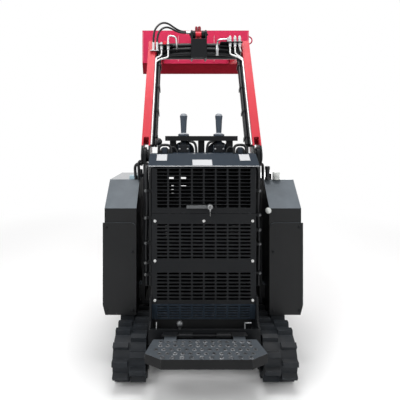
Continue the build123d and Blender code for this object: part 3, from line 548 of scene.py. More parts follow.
class Bench:
    """Collects simple machined forms into one mesh."""

    SMOOTH_UNDER = math.radians(38)
    SWELL = 0.16
    SWELL_STEP = 2.1

    def __init__(self, name: str) -> None:
        """Start an empty piece.

        Args:
            name: The piece's name.
        """
        self.name = name
        self.work = bmesh.new()

    def _break_edges(self, verts: Iterable[bmesh.types.BMVert], width: float) -> None:
        """Bevel the edges of a new form.

        Args:
            verts: The form's corners.
            width: Width of the broken edges, or 0 to leave them.
        """
        if width > 0:
            edges = list({edge for vert in verts for edge in vert.link_edges})
            bmesh.ops.bevel(self.work, geom=edges, offset=width, segments=2, affect="EDGES")

    def _ring(self, place: Matrix, height: float, radius: float, sides: int,
              spin: float = 0.0) -> list[bmesh.types.BMVert]:
        """Add one ring of corners.

        Args:
            place: Places the ring's axis along its Z.
            height: Height along the axis.
            radius: The ring's radius.
            sides: Number of corners.
            spin: Turn about the axis, in radians.

        Returns:
            The new corners.
        """
        angles = (spin + 2 * math.pi * step / sides for step in range(sides))
        spots = (Vector((radius * math.cos(angle), radius * math.sin(angle), height)) for angle in angles)
        return [self.work.verts.new(place @ spot) for spot in spots]

    def _skin(self, rings: Sequence[list[bmesh.types.BMVert]]) -> None:
        """Join rings of corners into a closed form.

        Args:
            rings: The rings in order.
        """
        sides = len(rings[0])
        for lower, upper in zip(rings, rings[1:]):
            for step in range(sides):
                after = (step + 1) % sides
                self.work.faces.new((lower[step], lower[after], upper[after], upper[step]))
        self.work.faces.new(list(reversed(rings[0])))
        self.work.faces.new(rings[-1])

    def block(self, low: Point, high: Point, chamfer: float = 0.0012) -> None:
        """Add a block with broken edges.

        Args:
            low: Lowest corner.
            high: Highest corner.
            chamfer: Width of the broken edges.
        """
        low, high = Vector(low), Vector(high)
        size = high - low
        made = bmesh.ops.create_cube(self.work, size=1.0)["verts"]
        place = Matrix.Translation((low + high) / 2) @ Matrix.Diagonal((size.x, size.y, size.z, 1.0))
        bmesh.ops.transform(self.work, matrix=place, verts=made)
        self._break_edges(made, chamfer)

    def turned(self, base: Point, direction: Point, stations: Sequence[tuple[float, float]],
               sides: int = 24, spin: float = 0.0) -> None:
        """Add a turned form, or a prism when it has few sides.

        Args:
            base: The middle of its foot.
            direction: The way that its axis points.
            stations: Height along the axis and radius, from the foot up.
            sides: Number of flats around.
            spin: Turn about the axis, in radians.
        """
        turn = Vector(direction).normalized().to_track_quat("Z", "Y").to_matrix().to_4x4()
        place = Matrix.Translation(Vector(base)) @ turn
        self._skin([self._ring(place, height, radius, sides, spin) for height, radius in stations])

    def plate(self, outline: Sequence[tuple[float, float]], plane: Matrix, thickness: float,
              chamfer: float = 0.0) -> None:
        """Add a flat plate cut to an outline.

        Args:
            outline: Corner points on the plane.
            plane: Places the plane; the plate grows along its Z.
            thickness: The plate's thickness.
            chamfer: Width of the broken edges.
        """
        low, high = ([self.work.verts.new(plane @ Vector((x, y, level))) for x, y in outline]
                     for level in (0.0, thickness))
        self._skin((low, high))
        self._break_edges(low + high, chamfer)

    def bolt(self, seat: Point, direction: Point, head: float = 0.0065, washer: float = 0.0098) -> None:
        """Add a flanged hexagon bolt head.

        Args:
            seat: The point where the bolt sits.
            direction: The way that its head points.
            head: Radius to the hexagon's corners.
            washer: Radius of the flange.
        """
        lift = 0.22 * head
        self.turned(seat, direction, ((0.0, washer), (lift, washer), (1.6 * lift, 0.93 * head)), 20)
        stations = ((1.2 * lift, head), (0.95 * head, head), (1.15 * head, 0.86 * head))
        self.turned(seat, direction, stations, 6, 0.3)

    def hood(self, middle: Point, width: float, height: float, reach: float) -> None:
        """Add a pressed louvre hood that faces backwards.

        Args:
            middle: The middle of the slot that it covers.
            width: Width of the hood.
            height: Height of the hood.
            reach: How far it stands off the sheet.
        """
        end = width / 2
        shoulder = end - 0.14 * width
        columns = ((-end, 0.0), (-shoulder, 1.0), (shoulder, 1.0), (end, 0.0))
        rows = ((0.78, 0.0), (0.66, 0.7), (0.50, 1.0), (0.36, 0.75))
        middle = Vector(middle)
        grid = []
        for across, fullness in columns:
            for up, out in rows:
                spot = middle + Vector((across, -reach * out * fullness, height * up))
                grid.append(self.work.verts.new(spot))
        faces = []
        deep = len(rows)
        for column in range(len(columns) - 1):
            for row in range(deep - 1):
                first = column * deep + row
                corners = (first, first + 1, first + deep + 1, first + deep)
                faces.append(self.work.faces.new([grid[index] for index in corners]))
        bmesh.ops.solidify(self.work, geom=faces, thickness=0.0011)

    def bead(self, line: Sequence[Point], radius: float, sides: int = 6) -> None:
        """Add a weld bead along a line of points.

        Args:
            line: The points that the bead follows.
            radius: The bead's radius.
            sides: Number of flats around it.
        """
        spots = [Vector(spot) for spot in line]
        rings = []
        for index, spot in enumerate(spots):
            ahead = spots[min(index + 1, len(spots) - 1)] - spots[max(index - 1, 0)]
            turn = ahead.normalized().to_track_quat("Z", "Y").to_matrix().to_4x4()
            swell = radius * (1.0 + self.SWELL * math.sin(index * self.SWELL_STEP))
            rings.append(self._ring(Matrix.Translation(spot) @ turn, 0.0, swell, sides))
        self._skin(rings)

    def finished(self, shop: FinishShop, finish: str, body: str) -> None:
        """Turn the collected forms into a dressed piece.

        Args:
            shop: The finishes.
            finish: The finish's name.
            body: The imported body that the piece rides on.
        """
        bmesh.ops.recalc_face_normals(self.work, faces=self.work.faces)
        mesh = bpy.data.meshes.new(self.name)
        self.work.to_mesh(mesh)
        self.work.free()
        mesh.shade_smooth()
        mesh.set_sharp_from_angle(angle=self.SMOOTH_UNDER)
        shop.place(self.name, mesh, finish, body)
        log.info("%s: %d faces on %s", self.name, len(mesh.polygons), body)


@dataclass
class Studio:
    """Camera, floor and lights, sized in metres."""

    camera_place: tuple[float, float, float] = (-0.097, -2.687, 1.25)
    lens: float = 31.95
    sensor: float = 36.0
    shift: tuple[float, float] = (0.037, -0.1575)
    floor_radius: float = 14.0
    floor_colour: tuple[float, float, float, float] = (0.93, 0.93, 0.93, 1.0)
    fade: tuple[float, float] = (1.6, 4.2)
    ambient: float = 0.50
    lamps: tuple = (
        ("key_lamp", (-2.6, -3.4, 3.6), 2.8, 95.0),
        ("fill_lamp", (3.2, -2.8, 2.2), 2.6, 40.0),
        ("top_lamp", (0.0, -0.6, 4.8), 2.0, 110.0),
        ("front_lamp", (0.8, 4.4, 2.6), 3.0, 70.0),
    )
    aim: tuple[float, float, float] = (0.0, -0.3, 1.0)

    def build(self) -> None:
        """Set the whole studio up."""
        self._camera()
        self._floor()
        self._world()
        for lamp in self.lamps:
            self._lamp(*lamp)
        bpy.context.scene.view_settings.view_transform = "Standard"

    def _camera(self) -> None:
        """Place the camera where the photograph was taken."""
        lens = bpy.data.cameras.new("photo_camera")
        lens.lens = self.lens
        lens.sensor_width = self.sensor
        lens.sensor_fit = "HORIZONTAL"
        lens.shift_x, lens.shift_y = self.shift
        camera = bpy.data.objects.new("photo_camera", lens)
        camera.location = self.camera_place
        camera.rotation_euler = (math.pi / 2, 0.0, 0.0)
        bpy.context.scene.collection.objects.link(camera)
        bpy.context.scene.camera = camera

    def _floor(self) -> None:
        """Lay a pale floor that fades to white away from the machine."""
        work = bmesh.new()
        bmesh.ops.create_circle(work, cap_ends=True, segments=96, radius=self.floor_radius)
        mesh = bpy.data.meshes.new("studio_floor")
        work.to_mesh(mesh)
        work.free()
        floor = bpy.data.objects.new("studio_floor", mesh)
        bpy.context.scene.collection.objects.link(floor)
        material = bpy.data.materials.new("studio_floor")
        material.use_nodes = True
        tree = material.node_tree
        shader = tree.nodes["Principled BSDF"]
        shader.inputs["Base Color"].default_value = self.floor_colour
        shader.inputs["Roughness"].default_value = 0.85
        shader.inputs["Specular IOR Level"].default_value = 0.1
        place = add_node(tree, "TexCoord")
        length = add_node(tree, "VectorMath", {0: place.outputs["Object"]}, operation="LENGTH")
        near, far = self.fade
        feeds = {"Value": length.outputs["Value"], "From Min": near, "From Max": far}
        spread = add_node(tree, "MapRange", feeds, interpolation_type="SMOOTHSTEP")
        seen = rays_seen(tree, "Is Camera Ray", "Is Glossy Ray")
        share = add_math(tree, "MULTIPLY", seen, spread.outputs["Result"])
        glow = add_node(tree, "Emission", {"Strength": 1.0})
        mix = add_node(tree, "MixShader", {"Fac": share, 1: shader.outputs[0], 2: glow.outputs[0]})
        tree.links.new(mix.outputs[0], tree.nodes["Material Output"].inputs["Surface"])
        mesh.materials.append(material)

    def _world(self) -> None:
        """Light the machine from all round, with white behind it."""
        world = bpy.data.worlds.new("white_studio")
        bpy.context.scene.world = world
        world.use_nodes = True
        tree = world.node_tree
        tree.nodes.clear()
        seen = rays_seen(tree, "Is Camera Ray", "Is Transmission Ray", "Is Glossy Ray")
        dim, white = (add_node(tree, "Background", {"Color": (1.0, 1.0, 1.0, 1.0), "Strength": strength})
                      for strength in (self.ambient, 1.0))
        mix = add_node(tree, "MixShader", {"Fac": seen, 1: dim.outputs[0], 2: white.outputs[0]})
        add_node(tree, "OutputWorld", {"Surface": mix.outputs[0]})

    def _lamp(self, name: str, place: Point, size: float, power: float) -> None:
        """Add one square soft lamp.

        Args:
            name: The lamp's name.
            place: Where it stands.
            size: Edge length.
            power: Power in watts.
        """
        light = bpy.data.lights.new(name, "AREA")
        light.size = size
        light.energy = power
        lamp = bpy.data.objects.new(name, light)
        lamp.location = place
        gaze = Vector(self.aim) - Vector(place)
        lamp.rotation_euler = gaze.to_track_quat("-Z", "Y").to_euler()
        bpy.context.scene.collection.objects.link(lamp)


@dataclass
class Assembly:
    """A group of pieces that are dressed together."""

    shop: FinishShop

    def build(self) -> None:
        """Build the group's pieces."""
        raise NotImplementedError

    def pipes(self, name: str, routes: Iterable[Sequence[Point]], radius: float, finish: str,
              body: str) -> bpy.types.Object:
        """Make one curve piece of several bent pipes.

        Args:
            name: The piece's name.
            routes: Control points of each pipe.
            radius: The pipes' radius.
            finish: The finish's name.
            body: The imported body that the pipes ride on.

        Returns:
            The piece.
        """
        curve = bpy.data.curves.new(name, "CURVE")
        curve.dimensions = "3D"
        curve.bevel_depth = radius
        curve.bevel_resolution = 4
        curve.use_fill_caps = True
        for route in routes:
            spline = curve.splines.new("NURBS")
            spline.points.add(len(route) - 1)
            for spot, place in zip(spline.points, route):
                spot.co = (*place, 1.0)
            spline.order_u = 3
            spline.use_endpoint_u = True
            spline.resolution_u = 8
        piece = self.shop.place(name, curve, finish, body)
        log.info("%s: %d runs on %s", name, len(curve.splines), body)
        return piece


@dataclass
class PackedPieces(Assembly):
    """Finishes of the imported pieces, by node."""

    finishes: dict[str, tuple[str, ...]] = field(default_factory=lambda: {
        "arm_paint": ("arm_left", "arm_right"),
        "red_paint": ("tilt_barrel",),
        "bucket_paint": ("bucket", "bucket_loop", "attachment_plate"),
        "black_paint": ("chassis_frame", "tower_left", "tower_right", "hood", "front_grille", "crossmember",
                        "bulkheads", "track_frame_left", "track_frame_right", "hose_clamps_left",
                        "hose_clamps_right", "sprockets", "idlers", "rear_frame", "lift_barrel_left",
                        "lift_barrel_right", "tie_downs"),
        "panel_paint": ("rear_door", "rear_panel", "hand_rest"),
        "slate_paint": ("console", "toe_panel"),
        "tread_paint": ("platform",),
        "tank_plastic": ("tank_left", "tank_right", "tank_cover_left", "tank_cover_right"),
        "cap_blue": ("filler_cap",),
        "zinc_steel": ("pivot_pins", "tilt_hose_fittings"),
        "dull_steel": ("door_latch",),
        "rod_chrome": ("lift_rod_left", "lift_rod_right", "tilt_rod"),
        "engine_iron": ("engine_block",),
        "track_rubber": ("track_left", "track_right", "track_rollers"),
        "hose_rubber": ("arm_hoses_left", "arm_hoses_right", "tilt_hose_upper", "tilt_hose_lower",
                        "throttle_lever"),
        "grip_plastic": ("joystick_left", "joystick_right"),
        "edge_steel": ("bucket_edge",),
    })

    def build(self) -> None:
        """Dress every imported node."""
        for finish, names in self.finishes.items():
            for name in names:
                self.shop.dress(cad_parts[name], finish)


@dataclass
class TiltHoses(Assembly):
    """The two free hoses from the left arm to the tilt cylinder."""

    diameter: float = 0.014
    upper_route: tuple = (
        (-0.318, -0.215, 1.908), (-0.318, -0.215, 1.948), (-0.310, -0.210, 1.997), (-0.288, -0.190, 2.036),
        (-0.260, -0.159, 2.064), (-0.222, -0.122, 2.072), (-0.182, -0.084, 2.054), (-0.134, -0.066, 2.030),
        (-0.089, -0.066, 2.024),
    )
    lower_route: tuple = (
        (-0.292, -0.216, 1.908), (-0.292, -0.216, 1.935), (-0.282, -0.211, 1.979), (-0.258, -0.193, 2.014),
        (-0.224, -0.167, 2.031), (-0.192, -0.127, 2.030), (-0.156, -0.102, 2.016), (-0.124, -0.092, 2.011),
        (-0.089, -0.092, 2.011),
    )
    lengths: tuple[float, float] = (0.394, 0.325)

    def build(self) -> None:
        """Make both hoses and hide the imported ones."""
        routes = (self.upper_route, self.lower_route)
        nodes = ("tilt_hose_upper", "tilt_hose_lower")
        for node, route, length in zip(nodes, routes, self.lengths):
            hose = self.pipes(f"{node}_line", (route,), self.diameter / 2, "hose_rubber", "arms")
            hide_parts(node)


@dataclass
class RearPanels(Assembly):
    """Louvre hoods, bolts, latch and key of the rear door and panels."""

    face: float = -0.837
    column_pitch: float = 0.062
    row_pitch: float = 0.0188
    columns: int = 8
    hood_width: float = 0.054
    hood_height: float = 0.013
    hood_reach: float = 0.0034
    door_rows: tuple = ((1.074, 11),)
    panel_rows: tuple = ((0.786, 10), (0.530, 8))
    panel_bolts: tuple = ((-0.2545, 0.812), (0.0, 0.812), (0.2545, 0.812), (-0.2545, 0.604),
                          (0.2545, 0.604), (-0.2545, 0.398), (0.2545, 0.398))
    latch_middle: tuple[float, float] = (0.0315, 0.888)

    def _hoods(self, name: str, body: str, groups: Iterable[tuple[float, int]]) -> None:
        """Add the louvre hoods of one panel.

        Args:
            name: The piece's name.
            body: The body that carries the panel.
            groups: Height of each group's top row, and its number of rows.
        """
        bench = Bench(name)
        for top, rows in groups:
            for row in range(rows):
                for column in range(self.columns):
                    across = (column - (self.columns - 1) / 2) * self.column_pitch
                    bench.hood((across, self.face, top - row * self.row_pitch), self.hood_width,
                               self.hood_height, self.hood_reach)
        bench.finished(self.shop, "panel_paint", body)

    def _bolts(self) -> None:
        """Add the pale bolts of the lower panel."""
        bench = Bench("panel_bolts")
        for across, height in self.panel_bolts:
            bench.bolt((across, self.face, height), (0, -1, 0), 0.0056, 0.0076)
        bench.finished(self.shop, "pipe_steel", "root")

    def _latch(self) -> None:
        """Add the lock's round face and its hanging key."""
        across, height = self.latch_middle
        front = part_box("door_latch")[0].y
        lock = Bench("latch_lock")
        lock.turned((across, front, height), (0, -1, 0),
                    ((-0.002, 0.0125), (0.003, 0.0125), (0.0045, 0.0105), (0.0045, 0.005),
                     (0.002, 0.0045)), 28)
        lock.block((across - 0.001, front - 0.011, height - 0.010),
                   (across + 0.001, front - 0.002, height + 0.003), 0.0003)
        lock.turned((across - 0.003, front - 0.008, height - 0.017), (1, 0, 0),
                    ((0.0, 0.009), (0.0045, 0.009), (0.006, 0.0075)), 20)
        lock.block((across - 0.0012, front - 0.0105, height - 0.045),
                   (across + 0.0012, front - 0.0055, height - 0.020), 0.0005)
        lock.finished(self.shop, "lock_steel", "door")

    def build(self) -> None:
        """Build every detail of the rear."""
        self._hoods("door_hoods", "door", self.door_rows)
        self._hoods("panel_hoods", "root", self.panel_rows)
        self._bolts()
        self._latch()


@dataclass
class ConsoleGear(Assembly):
    """Blank plates, pilot valves, hoops and clamps on the console."""

    rear_edge: tuple[float, float] = (-0.845, 1.100)
    crest: tuple[float, float] = (-0.745, 1.157)
    plates: tuple = ((-0.222, 0.42, 0.96, 0.028), (0.222, 0.42, 0.96, 0.028), (-0.007, 0.03, 0.50, 0.052))
    stick_across: float = 0.1065
    stick_row: float = -0.542
    top: float = 1.157
    folds: int = 4
    bundle_row: float = -0.695
    shroud_half: float = 0.066
    shroud_tall: float = 0.066
    hoop_radius: float = 0.0075
    valve_hoop: tuple = ((0.031, 0.0, -0.002), (0.032, 0.0, 0.040), (0.046, 0.0, 0.064),
                         (0.078, 0.012, 0.068),
                         (0.088, 0.050, 0.060), (0.088, 0.070, 0.030), (0.088, 0.070, -0.002))
    low_hoop: tuple = ((0.146, 0.0, -0.002), (0.150, 0.0, 0.020), (0.166, 0.0, 0.034), (0.186, 0.0, 0.026),
                       (0.192, 0.0, -0.002))
    end_hoops: tuple = ((0.176, 0.246, 0.047), (0.192, 0.232, 0.028))

    def _plates(self) -> None:
        """Lay the three blank plates."""
        bench = Bench("console_plates")
        rise, run = self.crest[1] - self.rear_edge[1], self.crest[0] - self.rear_edge[0]
        slant = math.hypot(run, rise)
        slope = Matrix.Rotation(math.atan2(rise, run), 4, "X")
        for across, low, high, half in self.plates:
            plane = Matrix.Translation((across, *self.rear_edge)) @ slope
            low, high = low * slant, high * slant
            bench.plate(((-half, low), (half, low), (half, high), (-half, high)), plane, 0.0012, 0.0004)
        bench.finished(self.shop, "blank_plate", "root")

    def _valves(self) -> None:
        """Add the valve block, boot and screws under each grip."""
        blocks = Bench("pilot_valves")
        boots = Bench("valve_boots")
        screws = Bench("valve_screws")
        row, top = self.stick_row, self.top
        folds = [(0.0, 0.026)]
        for fold in range(self.folds):
            folds.append((0.003 + 0.005 * fold, 0.026 - 0.002 * fold))
            folds.append((0.0055 + 0.005 * fold, 0.021 - 0.002 * fold))
        for side in (-1, 1):
            middle = side * self.stick_across
            blocks.block((middle - 0.031, row - 0.033, top),
                         (middle + 0.031, row + 0.027, top + 0.044), 0.003)
            blocks.block((middle - 0.024, row - 0.026, top + 0.042),
                         (middle + 0.024, row + 0.020, top + 0.052), 0.003)
            boots.turned((middle, row, top + 0.050), (0, 0, 1), folds, 28)
            for corner in (-0.024, 0.024):
                screws.bolt((middle + corner, row - 0.033, top + 0.022), (0, -1, 0), 0.004, 0.0055)
        blocks.finished(self.shop, "engine_iron", "root")
        boots.finished(self.shop, "slate_plastic", "root")
        screws.finished(self.shop, "zinc_steel", "root")

    def _bent(self, side: int, row: float, points: Iterable[Point]) -> tuple[Point, ...]:
        """Place a hoop on one side of the console's top.

        Args:
            side: -1 for the left and 1 for the right.
            row: Place along the machine that the points count from.
            points: Across, along and up for each point.

        Returns:
            The hoop's points.
        """
        return tuple((side * across, row + along, self.top + up) for across, along, up in points)

    def _hoops(self) -> None:
        """Bend the hoses beside the valves and at the console's ends."""
        routes = []
        row = self.stick_row - 0.045
        for side in (-1, 1):
            routes.append(self._bent(side, row, self.valve_hoop))
            routes.append(self._bent(side, row, self.low_hoop))
            for inner, outer, tall in self.end_hoops:
                arch = ((inner, 0.0, -0.002), (inner, 0.0, 0.7 * tall), (inner + 0.012, 0.0, tall),
                        ((inner + outer) / 2, 0.0, 1.05 * tall), (outer - 0.012, 0.0, tall),
                        (outer, 0.0, 0.7 * tall), (outer, 0.0, -0.002))
                routes.append(self._bent(side, self.bundle_row, arch))
        self.pipes("console_hoops", routes, self.hoop_radius, "hose_rubber", "root")

    def _shrouds(self) -> None:
        """Add the arched shroud in front of each valve, and the clamp under the outer hoses."""
        bench = Bench("valve_shrouds")
        steps = 22
        angles = [math.pi * step / steps for step in range(steps + 1)]
        outline = [(self.shroud_half * math.cos(angle), self.shroud_tall * math.sin(angle) ** 0.8)
                   for angle in angles]
        upright = Matrix.Rotation(math.pi / 2, 4, "X")
        for side in (-1, 1):
            foot = Matrix.Translation((side * self.stick_across, self.stick_row + 0.050, self.top - 0.001))
            bench.plate(outline, foot @ upright, 0.018, 0.004)
            bench.block((side * 0.211 - 0.014, self.bundle_row - 0.012, self.top - 0.001),
                        (side * 0.211 + 0.014, self.bundle_row + 0.012, self.top + 0.036), 0.003)
        bench.finished(self.shop, "slate_plastic", "root")

    def _edge_highlight(self) -> None:
        """Add a bright zinc strip along the console's rear edge: a painted highlight."""
        low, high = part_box("console")
        bench = Bench("console_edge_highlight")
        bench.block((low.x + 0.001, low.y - 0.0012, self.rear_edge[1] - 0.0035),
                    (high.x - 0.001, low.y + 0.0006, self.rear_edge[1] + 0.0005), 0.0004)
        bench.finished(self.shop, "zinc_steel", "root")

    def build(self) -> None:
        """Build everything on the console."""
        self._plates()
        self._valves()
        self._hoops()
        self._shrouds()
        self._edge_highlight()


@dataclass
class CrossmemberPlumbing(Assembly):
    """Fittings, steel pipes and hoses round the crossmember."""

    tube_centre: tuple[float, float] = (-0.105, 1.872)
    tube_radius: float = 0.057
    row: float = -0.215
    left_plate: tuple[float, float] = (1.884, 1.890)
    right_plate: tuple[float, float] = (1.904, 1.910)
    left_fittings: tuple[float, ...] = (-0.262, -0.216)
    right_fittings: tuple[float, ...] = (0.2155, 0.250, 0.282)
    nipple_across: float = -0.2715
    pipe_radius: float = 0.006
    hose_radius: float = 0.011
    pivot: tuple[float, float] = (-0.557, 1.139)
    arm_slope: tuple[float, float] = (0.5, 0.866)
    pipe_across: float = 0.2988
    pipe_below: float = -0.045
    pipe_places: tuple[float, ...] = (0.722, 0.700, 0.560, 0.420, 0.280, 0.140, 0.048)

    def _fitting(self, bench: Bench, across: float, plate: tuple[float, float]) -> None:
        """Add a bulkhead union through a plate.

        Args:
            bench: The piece that collects it.
            across: Its place along the plate.
            plate: Height of the plate's lower and upper face.
        """
        low, high = plate
        spot = (across, self.row, high)
        bench.turned(spot, (0, 0, 1), ((0.0, 0.0135), (0.009, 0.0135), (0.010, 0.0125)), 6)
        bench.turned(spot, (0, 0, 1), ((0.010, 0.0095), (0.017, 0.0095), (0.018, 0.0088)), 20)
        bench.turned((across, self.row, low), (0, 0, -1),
                     ((0.0, 0.0145), (0.010, 0.0145), (0.0115, 0.0132)), 6)
        bench.turned((across, self.row, low), (0, 0, -1),
                     ((0.0115, 0.0105), (0.026, 0.0105), (0.030, 0.0072)), 20)

    def _unions(self) -> None:
        """Add the unions, their pale caps and the red cap between them."""
        unions = Bench("bulkhead_unions")
        caps = Bench("union_caps")
        for across in self.left_fittings:
            self._fitting(unions, across, self.left_plate)
        for across in self.right_fittings:
            self._fitting(unions, across, self.right_plate)
            caps.turned((across, self.row, self.right_plate[1] + 0.017), (0, 0, 1),
                        ((0.0, 0.0105), (0.010, 0.0105), (0.026, 0.0062), (0.028, 0.0045)), 20)
        caps.turned((self.nipple_across, self.row - 0.012, self.left_plate[1]), (0, 0, 1),
                    ((0.0, 0.004), (0.010, 0.004)), 12)
        unions.finished(self.shop, "zinc_steel", "arms")
        caps.finished(self.shop, "clear_plastic", "arms")
        red = Bench("dust_cap")
        middle = sum(self.left_fittings) / 2
        red.turned((middle, self.row, self.left_plate[1]), (0, 0, 1),
                   ((0.0, 0.012), (0.020, 0.012), (0.024, 0.009), (0.026, 0.005)), 24)
        red.finished(self.shop, "red_paint", "arms")

    def arm_run(self, side: int) -> tuple[Point, ...]:
        """Return the pipe's run down an arm's inner face, clear of the hoses.

        Args:
            side: -1 for the left arm and 1 for the right one.

        Returns:
            Points from the arm's elbow to just over its pivot.
        """
        points = []
        level, steep = self.arm_slope
        for along in self.pipe_places:
            rearward = self.pivot[0] + level * along + steep * self.pipe_below
            height = self.pivot[1] + steep * along - level * self.pipe_below
            points.append((side * self.pipe_across, rearward, height))
        return tuple(points)

    def _pipes(self) -> None:
        """Bend the steel pipes."""
        row = self.row
        under_left = self.left_plate[0] - 0.026
        under_right = self.right_plate[0] - 0.026
        over_left = self.left_plate[1] + 0.014
        back = self.tube_centre[0] - self.tube_radius
        routes = [
            ((-0.262, row, under_left), (-0.262, row, 1.838), (-0.2625, row, 1.822),
             (-0.280, row - 0.007, 1.808), (-0.2975, row - 0.014, 1.796)) + self.arm_run(-1),
            ((-0.216, row, under_left), (-0.216, row, 1.822), (-0.2165, row, 1.806),
             (-0.250, row - 0.010, 1.795), (-0.283, row - 0.018, 1.784), (-0.296, row - 0.026, 1.768)),
            ((-0.216, row, over_left), (-0.216, row, 1.940), (-0.212, row, 1.955), (-0.190, row, 1.954),
             (-0.165, row, 1.946), (-0.158, row + 0.004, 1.926), (-0.157, row + 0.012, 1.880),
             (-0.157, back - 0.004, 1.862)),
            ((0.2155, row, under_right), (0.2155, row, 1.846), (0.217, row, 1.828),
             (0.250, row - 0.010, 1.812), (0.282, row - 0.016, 1.797), (0.296, row - 0.022, 1.780)),
            ((0.250, row, under_right), (0.2505, row, 1.850), (0.252, row, 1.834),
             (0.275, row - 0.008, 1.812), (0.2975, row - 0.014, 1.796)) + self.arm_run(1),
            ((0.282, row, under_right), (0.283, row, 1.868), (0.290, row + 0.004, 1.850),
             (0.297, row + 0.020, 1.838), (0.2956, -0.180, 1.815)),
            ((0.129, back - 0.018, 1.898), (0.129, back - 0.024, 1.918), (0.134, row + 0.010, 1.929),
             (0.160, row, 1.930), (0.185, row, 1.930), (0.2025, row, 1.930)),
        ]
        self.pipes("steel_pipes", routes, self.pipe_radius, "pipe_steel", "arms")
        coupler = Bench("pipe_coupler")
        spot = (0.129, back - 0.018, 1.826)
        coupler.turned(spot, (0, 0, 1),
                       ((0.0, 0.009), (0.004, 0.012), (0.030, 0.012), (0.032, 0.0135), (0.050, 0.0135),
                        (0.052, 0.011), (0.068, 0.011), (0.072, 0.007)), 24)
        coupler.turned((0.2025, row, 1.910), (0, 0, 1), ((0.0, 0.012), (0.028, 0.012), (0.030, 0.0105)), 6)
        coupler.finished(self.shop, "zinc_steel", "arms")

    def _hoses(self) -> None:
        """Lay the black hoses along the rear of the tube."""
        reach = self.tube_radius + self.hose_radius
        routes = []
        for lift in (0.030, 0.001, -0.030):
            back = self.tube_centre[0] - math.sqrt(reach ** 2 - lift ** 2)
            height = self.tube_centre[1] + lift
            for side in (-1, 1):
                routes.append(((side * 0.058, back, height), (side * 0.120, back - 0.002, height - 0.002),
                               (side * 0.200, back, height - 0.006),
                               (side * 0.262, back - 0.002, height - 0.016),
                               (side * 0.290, back - 0.006, height - 0.052),
                               (side * 0.291, back - 0.014, 1.775)))
        self.pipes("cross_hoses", routes, self.hose_radius, "hose_rubber", "arms")

    def build(self) -> None:
        """Build all the plumbing."""
        self._unions()
        self._pipes()
        self._hoses()


@dataclass
class TiltCylinderTrim(Assembly):
    """Collars, port bosses and bolts at the tilt cylinder's base."""

    base: tuple[float, float] = (-0.137, 1.985)
    collar_radius: float = 0.027
    left_collar: tuple[float, float] = (-0.0435, -0.0235)
    right_collar: tuple[float, float] = (0.0185, 0.0435)

    def build(self) -> None:
        """Build the trim."""
        collars = Bench("tilt_collars")
        for low, high in (self.left_collar, self.right_collar):
            width = high - low
            collars.turned((low, self.base[0], self.base[1]), (1, 0, 0),
                           ((0.0, self.collar_radius - 0.002), (0.002, self.collar_radius),
                            (width - 0.002, self.collar_radius), (width, self.collar_radius - 0.002)), 32)
        collars.finished(self.shop, "black_paint", "tilt_cylinder")
        ports = Bench("tilt_ports")
        for across, radius in ((-0.016, 0.0095), (0.006, 0.0120)):
            ports.turned((across, self.base[0] + 0.034, self.base[1] + 0.020), (0, 0, 1),
                         ((0.0, radius), (0.040, radius), (0.047, 0.8 * radius), (0.050, 0.4 * radius)), 24)
        ports.block((-0.023, self.base[0] + 0.014, self.base[1] + 0.010),
                    (0.0155, self.base[0] + 0.050, self.base[1] + 0.036), 0.004)
        # The ports take a darker copy of the red paint: painted shade.
        ports.finished(self.shop, "shaded_red_paint", "tilt_cylinder")
        ears = Bench("ear_plates")
        for side in (-1, 1):
            face = side * 0.0562
            ears.turned((face, self.base[0], self.base[1]), (side, 0, 0),
                        ((0.0, 0.024), (0.003, 0.024), (0.004, 0.0225)), 32)
            ears.bolt((face + side * 0.004, self.base[0], self.base[1]), (side, 0, 0), 0.0065, 0.0095)
        ears.finished(self.shop, "black_paint", "arms")


@dataclass
class EngineBay(Assembly):
    """The radiator core that shows dark behind the door's louvres."""

    rear: float = -0.470
    front: float = -0.452
    half_width: float = 0.2355
    height: tuple[float, float] = (0.720, 1.112)
    gaps: tuple = ((-0.198, -0.169, 0.858), (-0.126, -0.092, 0.925))
    gap_top: float = 1.010

    def build(self) -> None:
        """Build the core with its two gaps and its rows of fins."""
        core = Bench("radiator_core")
        low, high = self.height
        edge = -self.half_width
        for left, right, sill in self.gaps:
            core.block((edge, self.rear, low), (left, self.front, high), 0.0)
            core.block((left, self.rear, low), (right, self.front, sill), 0.0)
            core.block((left, self.rear, self.gap_top), (right, self.front, high), 0.0)
            edge = right
        core.block((edge, self.rear, low), (self.half_width, self.front, high), 0.0)
        height = low + 0.03
        while height < high - 0.02:
            core.block((edge + 0.006, self.rear - 0.003, height),
                       (self.half_width - 0.012, self.rear, height + 0.006), 0.001)
            height += 0.016
        core.finished(self.shop, "engine_iron", "root")


